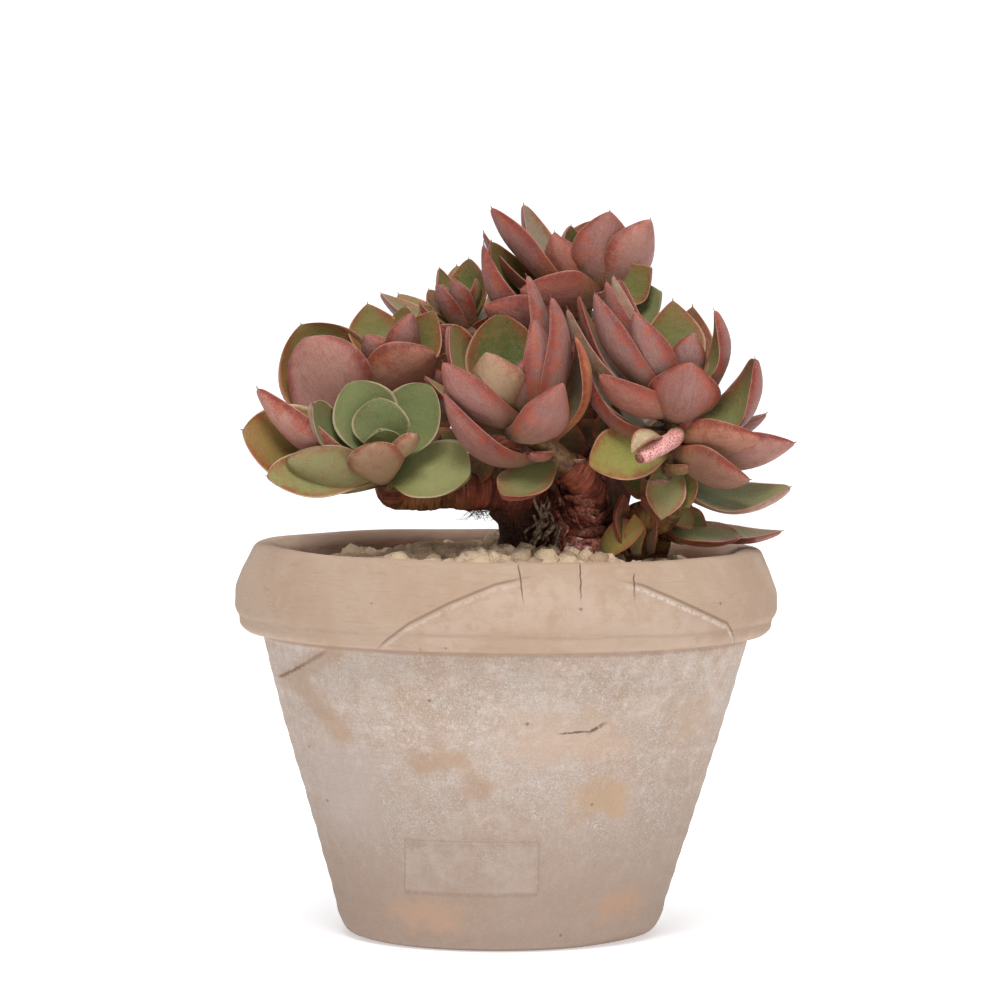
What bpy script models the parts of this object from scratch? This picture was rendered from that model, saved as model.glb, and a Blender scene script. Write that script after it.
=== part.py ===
"""A potted echeveria: a clump of leaf rosettes on bare woody stems, in a tapered clay pot with a
rolled rim, topped with pumice gravel.

Lengths are written in millimetres and built in metres. The origin is the centre of the pot's
foot, +Z is up, and the clump's front faces -Y.
"""
import math
import random

import bmesh
import bpy
import numpy as np
from mathutils import Matrix, Vector
from mathutils.bvhtree import BVHTree
from mathutils.geometry import delaunay_2d_cdt

for old in list(bpy.data.objects):
    bpy.data.objects.remove(old)

MM = 0.001
TOUCH_GAP = 0.3          # between two pieces that touch
MERGE = 0.00001          # metres, the merge distance of turned shapes

# The pot.
RIM_RADIUS = 100.0
POT_HEIGHT = 143.2
FOOT_RADIUS = 52.0
WALL = 9.0
FLOOR = 9.0
POT_STEPS = 34
RIM_SHIFT = 2.5          # the rim's centre stands this far to the right of the foot's
RIM_DROP = 1.3           # the rim's right side is this much lower, its left side higher
DRAIN_RADIUS = 6.0
DRAIN_CIRCLE = 25.0
DRAINS = 3

# The soil and the gravel.
SOIL_TOP = 127.0
GRAVEL_EDGE = 132.5
GRAVEL_CROWN = 137.0
STONES = 84
CHIP = 11.5              # across a chip

# The stem: three trunks that stand in the gravel, and the branches that leave them.
TRUNK_FOOT = 106.0
TRUNKS = {"middle": (10.0, 1.0, 11.5, 157.0), "thick": (30.0, -4.0, 11.5, 147.0),
          "right": (47.0, -2.0, 6.5, 146.0)}       # x, y, radius, top
TRUNK_SIDES = 12
STEM_KNOB = 0.07         # how far the leaf scars swell a stem, as a share of its radius
STEM_SPACING = 10.0      # between the points along a stem

# The leaves.
LEAF_THICKNESS = 3.4
LEAF_CUP = 0.18          # how far a leaf's edges rise over its middle, as a share of its width
LEAF_AROUND = 6
LEAF_ALONG = (0.0, 0.3, 0.62, 0.86)
CORE_RADIUS = 5.0
CORE_TAIL = 3.0          # how far a leafy stem goes on below its lowest leaf
CLEARANCE = 0.5
GOLDEN_ANGLE = math.radians(137.508)

# Each rosette: its heart, the foot of its leafy stem, the way it faces, and its leaves. A leaf
# is the tip's place from the heart (right, back, up), its seat from the heart (0) to the foot (1)
# or the seat's place, its width, how far it bows outwards as a share of its length, and how far
# its upper face turns to the back, or where that face looks. "more" is how many leaves fill its
# far side by rule.
ROSETTES = {
    "rosette_green": {
        "heart": (-41.5, -34.0, 178.5), "foot": (-39.5, -22.0, 169.5), "faces": (-0.1, -0.75, 0.65),
        "leaves": [
            ((-3, -1, 20.5), 0.1, 21, 0.08, 0), ((-2, -5, 9), 0.0, 14, 0.1, (0, -1, 0.3)),
            ((-13, 3, 26), 0.3, 25, 0.08, 0), ((16, 3, 25), 0.3, 25, 0.08, 0),
            ((30.5, -7, -7), 0.6, 29, 0.05, 0), ((-4.5, -15, 5), (-1, 6, -9.5), 21, 0.1, 1.5),
            ((10.5, -11, 8.5), 0.2, 12, 0.1, 1), ((-25.8, -12, 18.8), 0.75, 18, 0.18, (0.7, -0.7, 0.3)),
            ((-46, 0, 23.7), 0.7, 18, 0.14, 1), ((-51.6, 2, 8.7), 0.8, 34, 0.08, (0.1, -1, 0.6)),
            ((-42, -13, -7), 0.6, 19, 0.06, (0.1, -1, 0.5)), ((-44.5, 4, -15.5), 0.95, 20, 0.1, 1.8),
        ], "more": 0},
    "rosette_centre": {
        "heart": (3.0, -34.0, 194.0), "foot": (22.5, -24.0, 176.0), "faces": (-0.1, 0.0, 1.0),
        "leaves": [
            ((-7.8, -9, 21.8), 0.0, 22, 0.2, 0.3), ((7, -4, 20), 0.05, 16, 0.15, 0.3),
            ((-4, 10, 34.8), 0.15, 30, 0.12, 0), ((-21, 1, 31), 0.3, 29, 0.15, (1, -0.5, 0.4)),
            ((-23.5, -9, 18), 0.3, 17, 0.2, 0.9), ((19.5, -15, 11), (1, -3, -8), 20, 0.35, 1),
            ((6.7, 8, 48.8), 0.5, 17, 0.1, (-1, 0.3, 0.2)),
            ((8.5, 2, 34.8), 0.3, 21, 0.2, (-1, 0.7, 0.2)),
            ((15.5, 2, 41), 0.4, 20, 0.16, (-1, 0.4, 0.2)),
            ((24, -3, 27), 0.65, 22, 0.2, (-1, -0.3, 0.2)),
            ((-24.5, -12, 4.8), 0.8, 18, 0.27, 0.15), ((-2, -14, -29.5), 0.85, 20, 0.12, (-0.2, -0.8, 0.7)),
        ], "more": 4},
    "rosette_right": {
        "heart": (65.5, -22.0, 200.6), "foot": (61.5, -16.5, 165.0), "faces": (0.05, 0.0, 1.0),
        "leaves": [
            ((-2.2, 14, 33), 0.05, 24, 0.12, 0), ((5.2, 18, 30.7), 0.15, 20, 0.1, 0),
            ((12.5, 1, 29.5), 0.1, 20, 0.24, (-1, -0.1, 0.3)), ((5, -4, 22), 0.0, 14, 0.1, 0.5),
            ((-2, -3, 17), 0.0, 12, 0.1, 0.5), ((-16.6, -6, 29.6), 0.1, 18, 0.12, 0.5),
            ((3.5, -16, 11.5), 0.3, 27, 0.2, 1.2), ((-31, -5, 36), 0.2, 16, 0.12, 0.4),
            ((-36.6, -1, 35), 0.25, 16, 0.14, -0.2), ((-40.7, 3, 30), 0.3, 14, 0.14, 0.2),
            ((-26.6, 4, 40), 0.2, 14, 0.1, 0.4), ((-24, 8, 42), 0.15, 16, 0.1, 0.4),
            ((-21.8, 11, 40.7), 0.12, 18, 0.1, 0.4), ((-34.4, -6, 10), 0.4, 18, 0.24, -0.1),
            ((-29.5, -15, 7), 0.2, 17, 0.15, 0.75), ((-33, -12, -26), 0.45, 22, 0.1, (0.2, -1, 0.4)),
            ((27, -6, 12), 0.25, 29, 0.38, (-0.5, -0.4, 0.8)), ((31.8, 8, -8), 0.4, 18, 0.12, 0),
            ((28.5, -14, -15.5), 0.4, 20, 0.12, 1), ((41.5, -4, -18.2), 0.62, 22, 0.1, 0.8),
            ((25, -14, -31), 0.6, 24, 0.1, 0.8), ((39.8, -4, -34.4), 0.9, 20, 0.18, -0.5),
            ((-7, -8, -46), 0.65, 15, 0.05, (0, -1, 0.2)),
            ((3, -2, -42), 0.7, 14, 0.05, (-0.3, -1, 0.2)),
            ((-20.8, 14, -37.3), 0.85, 16, 0.08, (-0.2, -1, 0.3)),
        ], "more": 5},
    "rosette_low": {
        "heart": (64.0, 2.0, 158.0), "foot": (60.5, 2.0, 149.0), "faces": (0.5, 0.0, 0.85),
        "leaves": [
            ((24, -16, -10.5), (-4, -12, -7), 18, 0.08, -0.5), ((39.8, 0, -9.6), 0.2, 16, 0.14, (-0.3, -0.2, 1)),
            ((-9, -4, 10), 0.2, 13, 0.1, 0),
        ], "more": 4},
    "rosette_left": {
        "heart": (-40.6, 5.0, 206.8), "foot": (-37.6, 4.0, 182.0), "faces": (-0.15, 0.0, 1.0),
        "leaves": [
            ((-31, -13, 13), (-10, -6, -24), 33, 0.14, 2), ((-32.5, -3, 17.5), (-13, -2, -22), 37, 0.1, -1.2),
            ((-8.5, 10, 25), 0.05, 23, 0.1, 0), ((-9, -2, 14), 0.0, 15, 0.1, 0.5),
            ((5.5, 9, 24), 0.15, 20, 0.1, 0), ((8, -4, 22), 0.1, 14, 0.1, 0.6),
            ((16.5, 2, 22.5), 0.2, 22, 0.12, -0.8), ((16.5, -12, 8), (-11, -2, -7), 26, 0.08, 1.6),
            ((20.7, 0, 0), 0.5, 18, 0.1, 1),
        ], "more": 5},
    "rosette_top": {
        "heart": (28.9, 12.0, 238.7), "foot": (29.5, 8.0, 222.0), "faces": (0.05, 0.1, 1.0),
        "leaves": [
            ((11.5, -8, 27.4), (5, -2, -4), 24, 0.12, 0.3), ((26.3, -9, 24.4), (8, -2, -4), 21, 0.14, 0.6),
            ((26.5, -17, 6.8), (9, -9, -7), 17, 0.1, (0, -1, 0.5)),
            ((30, -15, -2), (13, -9, -13), 20, 0.1, (0, -1, 0.6)),
            ((8.5, 16, 24), 0.4, 29, 0.1, 0), ((-2.6, 4, 22), 0.1, 18, 0.08, 0),
            ((-9, -4, 19), 0.2, 18, 0.1, 0.3), ((-20, 6, 29.6), 0.4, 19, 0.08, (0.8, -0.5, 0.3)),
            ((-31.8, -3, 28.5), 0.4, 19, 0.05, (1, 0.4, 0.3)), ((-34.8, 5, 19.5), 0.6, 14, 0.12, 0),
            ((-34.8, -4, 15.2), 0.9, 18, 0.3, 0.3), ((-32, -8, 16), 0.8, 20, 0.28, (0.6, -0.8, 0.2)),
            ((-21.5, -18, -1), (8, -3, -4), 25, 0.12, 1.2), ((-34.8, -16, -7.4), 0.9, 22, 0.12, 1.2),
        ], "more": 5},
    "rosette_upper_left": {
        "heart": (-14.2, 34.0, 226.0), "foot": (-8.2, 30.0, 216.0), "faces": (-0.2, 0.0, 0.98),
        "leaves": [
            ((2.5, 6, 22), 0.3, 19, 0.08, 0), ((-3.7, -7, 15.3), (5, -3, -4), 13, 0.05, (0.53, 0.45, 0.71)),
            ((-9.3, -4, 13), (3, -3, -6), 12, 0.08, (0.53, 0.45, 0.71)), ((-15.5, -8, 5.5), 0.7, 15, 0.1, -0.3),
            ((-12.5, 8, 10.4), 0.4, 15, 0.1, 0), ((-13, -12, -3), 0.9, 14, 0.1, 0.6),
            ((5, -2, 15), 0.1, 10, 0.1, 0),
        ], "more": 5},
    "rosette_back_right": {
        "heart": (52.0, 44.0, 202.0), "foot": (46.0, 36.0, 186.0), "faces": (0.35, 0.5, 0.8),
        "leaves": [], "more": 13},
    "rosette_back_left": {
        "heart": (-38.0, 44.0, 188.0), "foot": (-31.0, 35.0, 174.0), "faces": (-0.45, 0.55, 0.75),
        "leaves": [], "more": 13},
    "rosette_back_middle": {
        "heart": (8.0, 58.0, 186.0), "foot": (9.0, 46.0, 174.0), "faces": (0.0, 0.75, 0.65),
        "leaves": [], "more": 13},
}
# The branches: the points of each, from inside the piece that it leaves to just short of a
# rosette's foot, and the radius at its two ends.
BRANCHES = {
    "rosette_top": ([(30, -4, 142), (30, -4, 156), (32, 2, 178), (31, 7, 202)], 11.0, 5.5),
    "rosette_centre": ([(31, -4, 150), (32, -10, 160)], 8.0, 5.5),
    "rosette_right": ([(47, -2, 142), (46, -7, 148), (51, -13, 154)], 6.2, 5.5),
    "rosette_low": ([(47, -2, 142), (53, 0, 144)], 4.2, 4.5),
    "rosette_green": ([(31, -4, 145), (18, -1, 156), (2, -3, 162.5), (-18, -9, 164),
                       (-31, -12, 163.5)], 9.0, 6.0),
    "rosette_left": ([(-20, -9, 162), (-31, -3, 170)], 5.5, 5.0),
    "rosette_upper_left": ([(11, 1, 142), (8, 12, 165), (0, 25, 194)], 6.5, 5.0),
    "rosette_back_right": ([(32, 1, 172), (38, 18, 176)], 6.0, 5.0),
    "rosette_back_left": ([(-10, -6, 163), (-20, 12, 164)], 5.5, 5.0),
    "rosette_back_middle": ([(9, 9, 160), (8, 28, 166)], 5.5, 5.0),
}
STALK = ((65.5, -17.0, 187.0), (62.0, -33.0, 183.5), (50.0, -42.0, 177.3))
STALK_RADIUS = 3.7


def collection(name):
    group = bpy.data.collections.new(name)
    bpy.context.scene.collection.children.link(group)
    return group


plant = collection("potted_echeveria")
cutters = collection("cutters")
pieces = collection("pieces")


def material(name, colour, roughness):
    finish = bpy.data.materials.new(name)
    finish.use_nodes = True
    shader = finish.node_tree.nodes["Principled BSDF"]
    shader.inputs["Base Color"].default_value = (*colour, 1.0)
    shader.inputs["Roughness"].default_value = roughness
    shader.inputs["Metallic"].default_value = 0.0
    return finish


def add_object(name, mesh, group, finish=None):
    thing = bpy.data.objects.new(name, mesh)
    group.objects.link(thing)
    if finish:
        thing.data.materials.clear()
        thing.data.materials.append(finish)
    return thing


def evaluated_mesh(thing):
    """The mesh that a curve or an object with modifiers makes, in the world's place."""
    depsgraph = bpy.context.evaluated_depsgraph_get()
    mesh = bpy.data.meshes.new_from_object(thing.evaluated_get(depsgraph), depsgraph=depsgraph)
    mesh.transform(thing.matrix_world)
    return mesh


def turned(name, profile, steps):
    """A solid turned about Z from a profile that runs down its outer side."""
    mesh = bpy.data.meshes.new(name)
    points = [(r * MM, 0.0, z * MM) for r, z in profile]
    mesh.from_pydata(points, [(i, i + 1) for i in range(len(points) - 1)], [])
    thing = add_object(name, mesh, pieces)
    screw = thing.modifiers.new("turn", "SCREW")
    screw.steps = screw.render_steps = steps
    screw.use_merge_vertices = True
    screw.merge_threshold = MERGE
    solid = evaluated_mesh(thing)
    bpy.data.objects.remove(thing)
    solid.name = name
    return solid


def lean_to_rim(mesh):
    """The hand-made pot's slight lean: each level slides right and dips with its height."""
    level = Matrix.Identity(4)
    level[0][2] = RIM_SHIFT / POT_HEIGHT
    mesh.transform(level)
    for vertex in mesh.vertices:
        rise = vertex.co.z / (POT_HEIGHT * MM)
        vertex.co.z -= RIM_DROP / RIM_RADIUS * vertex.co.x * rise ** 2


def union(name, body, parts, group, finish, solver="EXACT"):
    """One solid from a body and the parts that grow from it."""
    bunch = collection(name + "_parts")
    for part in parts:
        bunch.objects.link(part)
    join = body.modifiers.new("join", "BOOLEAN")
    join.operation = "UNION"
    join.solver = solver
    join.operand_type = "COLLECTION"
    join.collection = bunch
    mesh = outer_skin(evaluated_mesh(body))
    for part in parts + [body]:
        bpy.data.objects.remove(part)
    bpy.data.collections.remove(bunch)
    mesh.name = name
    return add_object(name, mesh, group, finish)


def outer_skin(mesh):
    """Only the largest connected skin of a mesh: a pocket sealed inside is filled."""
    shape = bmesh.new()
    shape.from_mesh(mesh)
    bmesh.ops.remove_doubles(shape, verts=shape.verts, dist=0.000002)
    bmesh.ops.triangulate(shape, faces=shape.faces)
    groups = []
    unseen = set(shape.verts)
    while unseen:
        front = [unseen.pop()]
        group = set(front)
        while front:
            for edge in front.pop().link_edges:
                for vertex in edge.verts:
                    if vertex in unseen:
                        unseen.discard(vertex)
                        group.add(vertex)
                        front.append(vertex)
        groups.append(group)
    largest = max(groups, key=len)
    bmesh.ops.delete(shape, geom=[v for v in shape.verts if v not in largest], context="VERTS")
    shape.to_mesh(mesh)
    shape.free()
    return mesh


def cut(thing, tools):
    """Takes each tool's solid out of a thing, for good."""
    for tool in tools:
        cutter = thing.modifiers.new("cut", "BOOLEAN")
        cutter.operation = "DIFFERENCE"
        cutter.object = tool
    mesh = evaluated_mesh(thing)
    thing.modifiers.clear()
    thing.data = mesh


def cylinder(name, place, radius, bottom, top, sides):
    mesh = bpy.data.meshes.new(name)
    shape = bmesh.new()
    bmesh.ops.create_cone(shape, cap_ends=True, segments=sides, radius1=radius * MM,
                          radius2=radius * MM, depth=(top - bottom) * MM)
    shape.to_mesh(mesh)
    shape.free()
    mesh.transform(Matrix.Translation(Vector((place[0], place[1], (top + bottom) / 2)) * MM))
    return add_object(name, mesh, cutters)


def smooth_route(points):
    """Points a few millimetres apart on a smooth curve through the given points."""
    points = [Vector(p) for p in points]
    ends = [2 * points[0] - points[1], *points, 2 * points[-1] - points[-2]]
    route = []
    for a, b, c, d in zip(ends, ends[1:], ends[2:], ends[3:]):
        count = max(2, round((c - b).length / STEM_SPACING))
        for i in range(count):
            t = i / count
            route.append(0.5 * (2 * b + (c - a) * t + (2 * a - 5 * b + 4 * c - d) * t ** 2
                                + (3 * b - a - 3 * c + d) * t ** 3))
    return route + [points[-1]]


def tube(name, route, radii, group, resolution=1):
    """A closed tube along a route, with a radius for each of its points."""
    data = bpy.data.curves.new(name, "CURVE")
    data.dimensions = "3D"
    data.bevel_depth = MM
    data.bevel_resolution = resolution
    data.use_fill_caps = True
    line = data.splines.new("POLY")
    line.points.add(len(route) - 1)
    for point, place, radius in zip(line.points, route, radii):
        point.co = (*(Vector(place) * MM), 1.0)
        point.radius = radius
    curve = bpy.data.objects.new(name, data)
    group.objects.link(curve)
    mesh = evaluated_mesh(curve)
    bpy.data.objects.remove(curve)
    shape = bmesh.new()
    shape.from_mesh(mesh)
    bmesh.ops.remove_doubles(shape, verts=shape.verts, dist=MERGE)
    shape.to_mesh(mesh)
    shape.free()
    return add_object(name, mesh, group)


def unit(vector):
    return vector / np.linalg.norm(vector)


def seat_of(rosette, seat):
    heart, foot = np.array(rosette["heart"]), np.array(rosette["foot"])
    return heart + (np.array(seat, float) if isinstance(seat, tuple) else seat * (foot - heart))


def leaf_mesh(leaf, grow=0.0):
    """A leaf's closed surface. Its middle line is an arc from root to tip that bows away from
    the upper face. Its half width grows from a narrow foot to a broad belly and closes in a
    short point. A cut across it is a flat lens whose edges curl up.
    """
    root, tip = leaf["root"], leaf["tip"]
    along = tip - root
    length = np.linalg.norm(along)
    along = along / length
    upper = unit(leaf["face"] - along * np.dot(leaf["face"], along))
    side = np.cross(along, upper)
    s = np.array(LEAF_ALONG)
    turn = np.arange(LEAF_AROUND) * 2 * math.pi / LEAF_AROUND
    bow = leaf["bow"] * length
    middle = root + s[:, None] * along * length - (4 * bow * s * (1 - s))[:, None] * upper
    heading = along * length - (4 * bow * (1 - 2 * s))[:, None] * upper
    heading /= np.linalg.norm(heading, axis=1)[:, None]
    lift = np.cross(side, heading)
    half = leaf["width"] / 2 * half_width(s) + grow
    deep = LEAF_THICKNESS * (1 - 0.6 * s ** 2) + 2 * grow
    across = half[:, None] * np.cos(turn)
    cup = LEAF_CUP * half[:, None] * np.cos(turn) ** 2
    height = cup + deep[:, None] * np.sin(turn) * np.where(np.sin(turn) > 0, 0.3, 0.7)
    ring = middle[:, None] + across[..., None] * side + height[..., None] * lift[:, None]
    points = np.vstack([ring.reshape(-1, 3), root, tip + grow * along]) * MM
    rings, n = len(s), LEAF_AROUND
    faces = [(i * n + j, i * n + (j + 1) % n, (i + 1) * n + (j + 1) % n, (i + 1) * n + j)
             for i in range(rings - 1) for j in range(n)]
    faces += [(rings * n, (j + 1) % n, j) for j in range(n)]
    faces += [(rings * n + 1, (rings - 1) * n + j, (rings - 1) * n + (j + 1) % n) for j in range(n)]
    return points, faces


def half_width(s):
    """A spoon's outline: 0.45 at the foot, 1 at the belly (0.62), and rounded to the tip."""
    rise = 0.45 + 0.55 * np.sin(np.clip(s / 0.62, 0, 1) * math.pi / 2) ** 1.6
    fall = np.sqrt(np.clip(1 - (np.clip(s - 0.62, 0, 1) / 0.4) ** 2.2, 0, 1))
    return rise * fall


def search_tree(points, faces):
    return BVHTree.FromPolygons([Vector(p) for p in points], faces)


def tree_of(thing):
    mesh = evaluated_mesh(thing)
    tree = search_tree([v.co for v in mesh.vertices], [tuple(f.vertices) for f in mesh.polygons])
    bpy.data.meshes.remove(mesh)
    return tree


def bent_clear(leaf, rosette, others, tries, step):
    """Bends a leaf up to its rosette's middle, and shortens it a little, until it is clear of
    every other piece. Nothing comes back if it never is.
    """
    faces = unit(np.array(rosette["faces"]))
    for _ in range(tries):
        tree = search_tree(*leaf_mesh(leaf, CLEARANCE))
        if not any(tree.overlap(other) for other in others):
            return leaf
        reach = leaf["tip"] - leaf["root"]
        length = np.linalg.norm(reach)
        raised = unit(unit(reach) + step * faces) * length * 0.985
        leaf = {**leaf, "tip": leaf["root"] + raised}
    return None


def posed_leaf(rosette, tip, seat, width, bow, look):
    end = np.array(rosette["heart"]) + np.array(tip, float)
    if not isinstance(look, tuple):
        look = unit(np.array(rosette["faces"])) + (0, look, 0)
    return {"root": seat_of(rosette, seat), "tip": end, "width": width, "bow": bow,
            "face": np.array(look, float)}


def far_side_leaves(rosette, taken, draw):
    """Leaves by the golden angle, from the bud outwards, wherever a way from the heart is free.
    Where some leaves have their places, the rest are on the far side of the clump.
    """
    heart = np.array(rosette["heart"])
    faces = unit(np.array(rosette["faces"]))
    right = unit(np.cross((0.0, 1.0, 0.0), faces)) if abs(faces[1]) < 0.9 else np.array((1.0, 0, 0))
    back = np.cross(faces, right)
    ways = [unit(leaf["tip"] - heart) for leaf in taken]
    wanted, found, i = rosette["more"], [], 0
    candidates = 70 if taken else 2 * wanted
    apart = math.cos(math.radians(24.0))
    while len(found) < wanted and i < candidates:
        share = i / candidates
        spread = math.radians(12 + 100 * share ** 0.8)
        turn = i * GOLDEN_ANGLE + draw.uniform(-0.15, 0.15)
        outward = math.cos(turn) * right + math.sin(turn) * back
        way = math.cos(spread) * faces + math.sin(spread) * outward
        i += 1
        if taken and (way[1] < 0.1 or max(np.dot(way, w) for w in ways) > apart):
            continue
        length = (22 + 18 * min(1.0, 1.4 * share)) * draw.uniform(0.92, 1.08)
        width = 12 + 11 * min(1.0, 1.5 * share)
        tip = way * length
        found.append(posed_leaf(rosette, tip, 0.05 + 0.8 * share, width, 0.12, 0))
        ways.append(way)
    return found


def build_pot(finish):
    profile = [(0, FLOOR), (49, FLOOR), (84.8 - WALL, 92.7), (80.5, 112), (80.0, 134),
               (82.6, 141.8), (87, POT_HEIGHT), (92.4, 142.8), (94.4, 140.2), (98, 131.8),
               (RIM_RADIUS, 123.8), (97.7, 114), (95.8, 112), (90.2, 110.8), (84.85, 92.7),
               (60.2, 9.5), (58.4, 3.6), (FOOT_RADIUS, 0), (0, 0)]
    mesh = turned("pot", profile, POT_STEPS)
    pot = add_object("pot", mesh, plant, finish)
    tools = []
    for i in range(DRAINS):
        turn = 2 * math.pi * (i + 0.25) / DRAINS
        place = (DRAIN_CIRCLE * math.cos(turn), DRAIN_CIRCLE * math.sin(turn))
        tools.append(cylinder(f"drain_{i}", place, DRAIN_RADIUS, -4, FLOOR + 4, 16))
    cut(pot, tools)
    lean_to_rim(pot.data)
    return pot


def trunk_holes(bottom, top):
    return [cylinder("hole_" + name, (x, y), radius + TOUCH_GAP, bottom, top,
                     TRUNK_SIDES)
            for name, (x, y, radius, _) in TRUNKS.items()]


def build_soil(finish):
    profile = [(0, SOIL_TOP), (79.6, SOIL_TOP), (80.1, 112), (84.8 - WALL - TOUCH_GAP, 92.7),
               (48.6, FLOOR + TOUCH_GAP), (0, FLOOR + TOUCH_GAP)]
    soil = add_object("soil", turned("soil", profile, POT_STEPS), plant, finish)
    lean_to_rim(soil.data)
    cut(soil, trunk_holes(TRUNK_FOOT - 1, SOIL_TOP + 5))
    return soil


def build_gravel(finish):
    """A mounded bed of chips in one skin: faceted tops, their places a sunflower's spiral with a
    small draw, and a low spot wherever three of them meet.
    """
    draw = random.Random(11)
    floor, edge = SOIL_TOP + TOUCH_GAP, 79.4
    centres, spots = [], []
    for i in range(STONES):
        share = (i + 0.5) / STONES
        radius, turn = (edge - CHIP / 2 - 1.0) * math.sqrt(share), i * GOLDEN_ANGLE
        x, y = radius * math.cos(turn), radius * math.sin(turn)
        level = GRAVEL_CROWN - (GRAVEL_CROWN - GRAVEL_EDGE) * share + draw.uniform(-0.8, 0.8)
        centres.append((x, y, level))
        lean, start = (draw.uniform(-0.3, 0.3), draw.uniform(-0.3, 0.3)), draw.uniform(0, 6.28)
        for k in range(5):
            way, reach = start + k * 2 * math.pi / 5, CHIP / 2 * draw.uniform(0.65, 0.95)
            dx, dy = reach * math.cos(way), reach * math.sin(way)
            spots.append((x + dx, y + dy, level + lean[0] * dx + lean[1] * dy))
    flat = delaunay_2d_cdt([Vector(c[:2]) for c in centres], [], [], 0, 0.001)
    for corners in flat[2]:
        low = sum((Vector(centres[k]) for k in corners), Vector()) / 3
        spots.append((low.x, low.y, low.z - 4.5))
    ring = [(edge * math.cos(a), edge * math.sin(a)) for a in
            (2 * math.pi * k / POT_STEPS for k in range(POT_STEPS))]
    spots += [(x, y, GRAVEL_EDGE - 4) for x, y in ring]
    top = delaunay_2d_cdt([Vector(spot[:2]) for spot in spots], [], [], 0, 0.001)
    first = len(spots) - POT_STEPS
    points = spots + [(x, y, floor) for x, y in ring]
    faces = [tuple(face) for face in top[2]]
    for k in range(POT_STEPS):
        after = (k + 1) % POT_STEPS
        faces.append((first + POT_STEPS + k, first + POT_STEPS + after, first + after, first + k))
    faces.append(tuple(first + POT_STEPS + k for k in reversed(range(POT_STEPS))))
    mesh = bpy.data.meshes.new("gravel")
    mesh.from_pydata([tuple(Vector(point) * MM) for point in points], [], faces)
    gravel = add_object("gravel", mesh, plant, finish)
    lean_to_rim(gravel.data)
    cut(gravel, trunk_holes(SOIL_TOP - 5, GRAVEL_CROWN + 20))
    return gravel


def foot_way(rosette):
    return unit(np.array(rosette["foot"]) - np.array(rosette["heart"]))


def build_stem(finish):
    """Trunks and branches joined in one piece, swollen a little at each old leaf scar."""
    draw = random.Random(5)
    trunks = []
    for name, (x, y, radius, top) in TRUNKS.items():
        trunks.append(cylinder(name, (x, y), radius, TRUNK_FOOT, top, TRUNK_SIDES))
    branches = []
    for name, (points, start, end) in BRANCHES.items():
        rosette = ROSETTES[name]
        way = foot_way(rosette)
        last = np.array(rosette["foot"]) + way * (CORE_TAIL + TOUCH_GAP)
        route = smooth_route([*points, tuple(last + way * 7)]) + [Vector(last)]
        radii = []
        for i in range(len(route)):
            share = i / (len(route) - 1)
            swell = 1 if i in (0, len(route) - 1) else 1 + draw.uniform(-1, 1) * STEM_KNOB
            radii.append((start + (end - start) * share) * swell)
        branches.append(tube(name + "_branch", route, radii, pieces))
    return union("stem", trunks[0], trunks[1:] + branches, plant, finish, "MANIFOLD")


def build_core(name, rosette):
    heart, foot = np.array(rosette["heart"]), np.array(rosette["foot"])
    faces = unit(np.array(rosette["faces"]))
    route = [heart + 3 * faces, heart, (heart + foot) / 2, foot,
             foot + CORE_TAIL * foot_way(rosette)]
    radii = [0.35 * CORE_RADIUS, 0.75 * CORE_RADIUS, 0.9 * CORE_RADIUS, CORE_RADIUS,
             CORE_RADIUS]
    return tube(name + "_core", route, radii, pieces)


def build_rosettes(finishes, fixed):
    """Every rosette's leaves find their places in turn, clear of what already stands."""
    cores = {name: build_core(name, rosette) for name, rosette in ROSETTES.items()}
    stalk = tube("stalk", STALK, [STALK_RADIUS] * len(STALK), pieces)
    standing = {"fixed": fixed, **{name: [tree_of(core)] for name, core in cores.items()}}
    standing["rosette_right"].append(tree_of(stalk))
    placed = {name: [] for name in ROSETTES}

    def settle(name, leaf, tries, step):
        others = [tree for key, trees in standing.items() if key != name for tree in trees]
        leaf = bent_clear(leaf, ROSETTES[name], others, tries, step)
        if leaf is None:
            return
        placed[name].append(leaf)
        standing[name].append(search_tree(*leaf_mesh(leaf)))

    for name, rosette in ROSETTES.items():
        for pose in rosette["leaves"]:
            settle(name, posed_leaf(rosette, *pose), 14, 0.07)
    for number, (name, rosette) in enumerate(ROSETTES.items()):
        draw = random.Random(100 + number)
        for leaf in far_side_leaves(rosette, placed[name][:], draw):
            settle(name, leaf, 10, 0.12)
    for name, leaves in placed.items():
        blades = []
        for leaf in leaves:
            points, faces = leaf_mesh(leaf)
            mesh = bpy.data.meshes.new("leaf")
            mesh.from_pydata([tuple(p) for p in points], [], faces)
            blades.append(add_object("leaf", mesh, pieces))
        if name == "rosette_right":
            blades.append(stalk)
        union(name, cores[name], blades, plant, finishes[name])
    return placed


clay = material("clay", (0.52, 0.41, 0.33), 0.85)
mix = material("potting_mix", (0.09, 0.06, 0.04), 0.95)
pumice = material("pumice", (0.62, 0.52, 0.40), 0.9)
bark = material("bark", (0.20, 0.08, 0.05), 0.8)
rose = material("rose_leaf", (0.42, 0.21, 0.19), 0.5)
green = material("green_leaf", (0.27, 0.33, 0.17), 0.5)

pot = build_pot(clay)
build_soil(mix)
gravel = build_gravel(pumice)
stem = build_stem(bark)
leaf_finishes = {name: green if name == "rosette_green" else rose for name in ROSETTES}
placed = build_rosettes(leaf_finishes, [tree_of(pot), tree_of(gravel), tree_of(stem)])
bpy.data.collections.remove(pieces)
for cutter in cutters.objects:
    cutter.hide_render = True
    cutter.display_type = "WIRE"
for piece in plant.objects:
    piece.data.shade_smooth()
    piece.data.set_sharp_from_angle(angle=math.radians(40))
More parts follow.
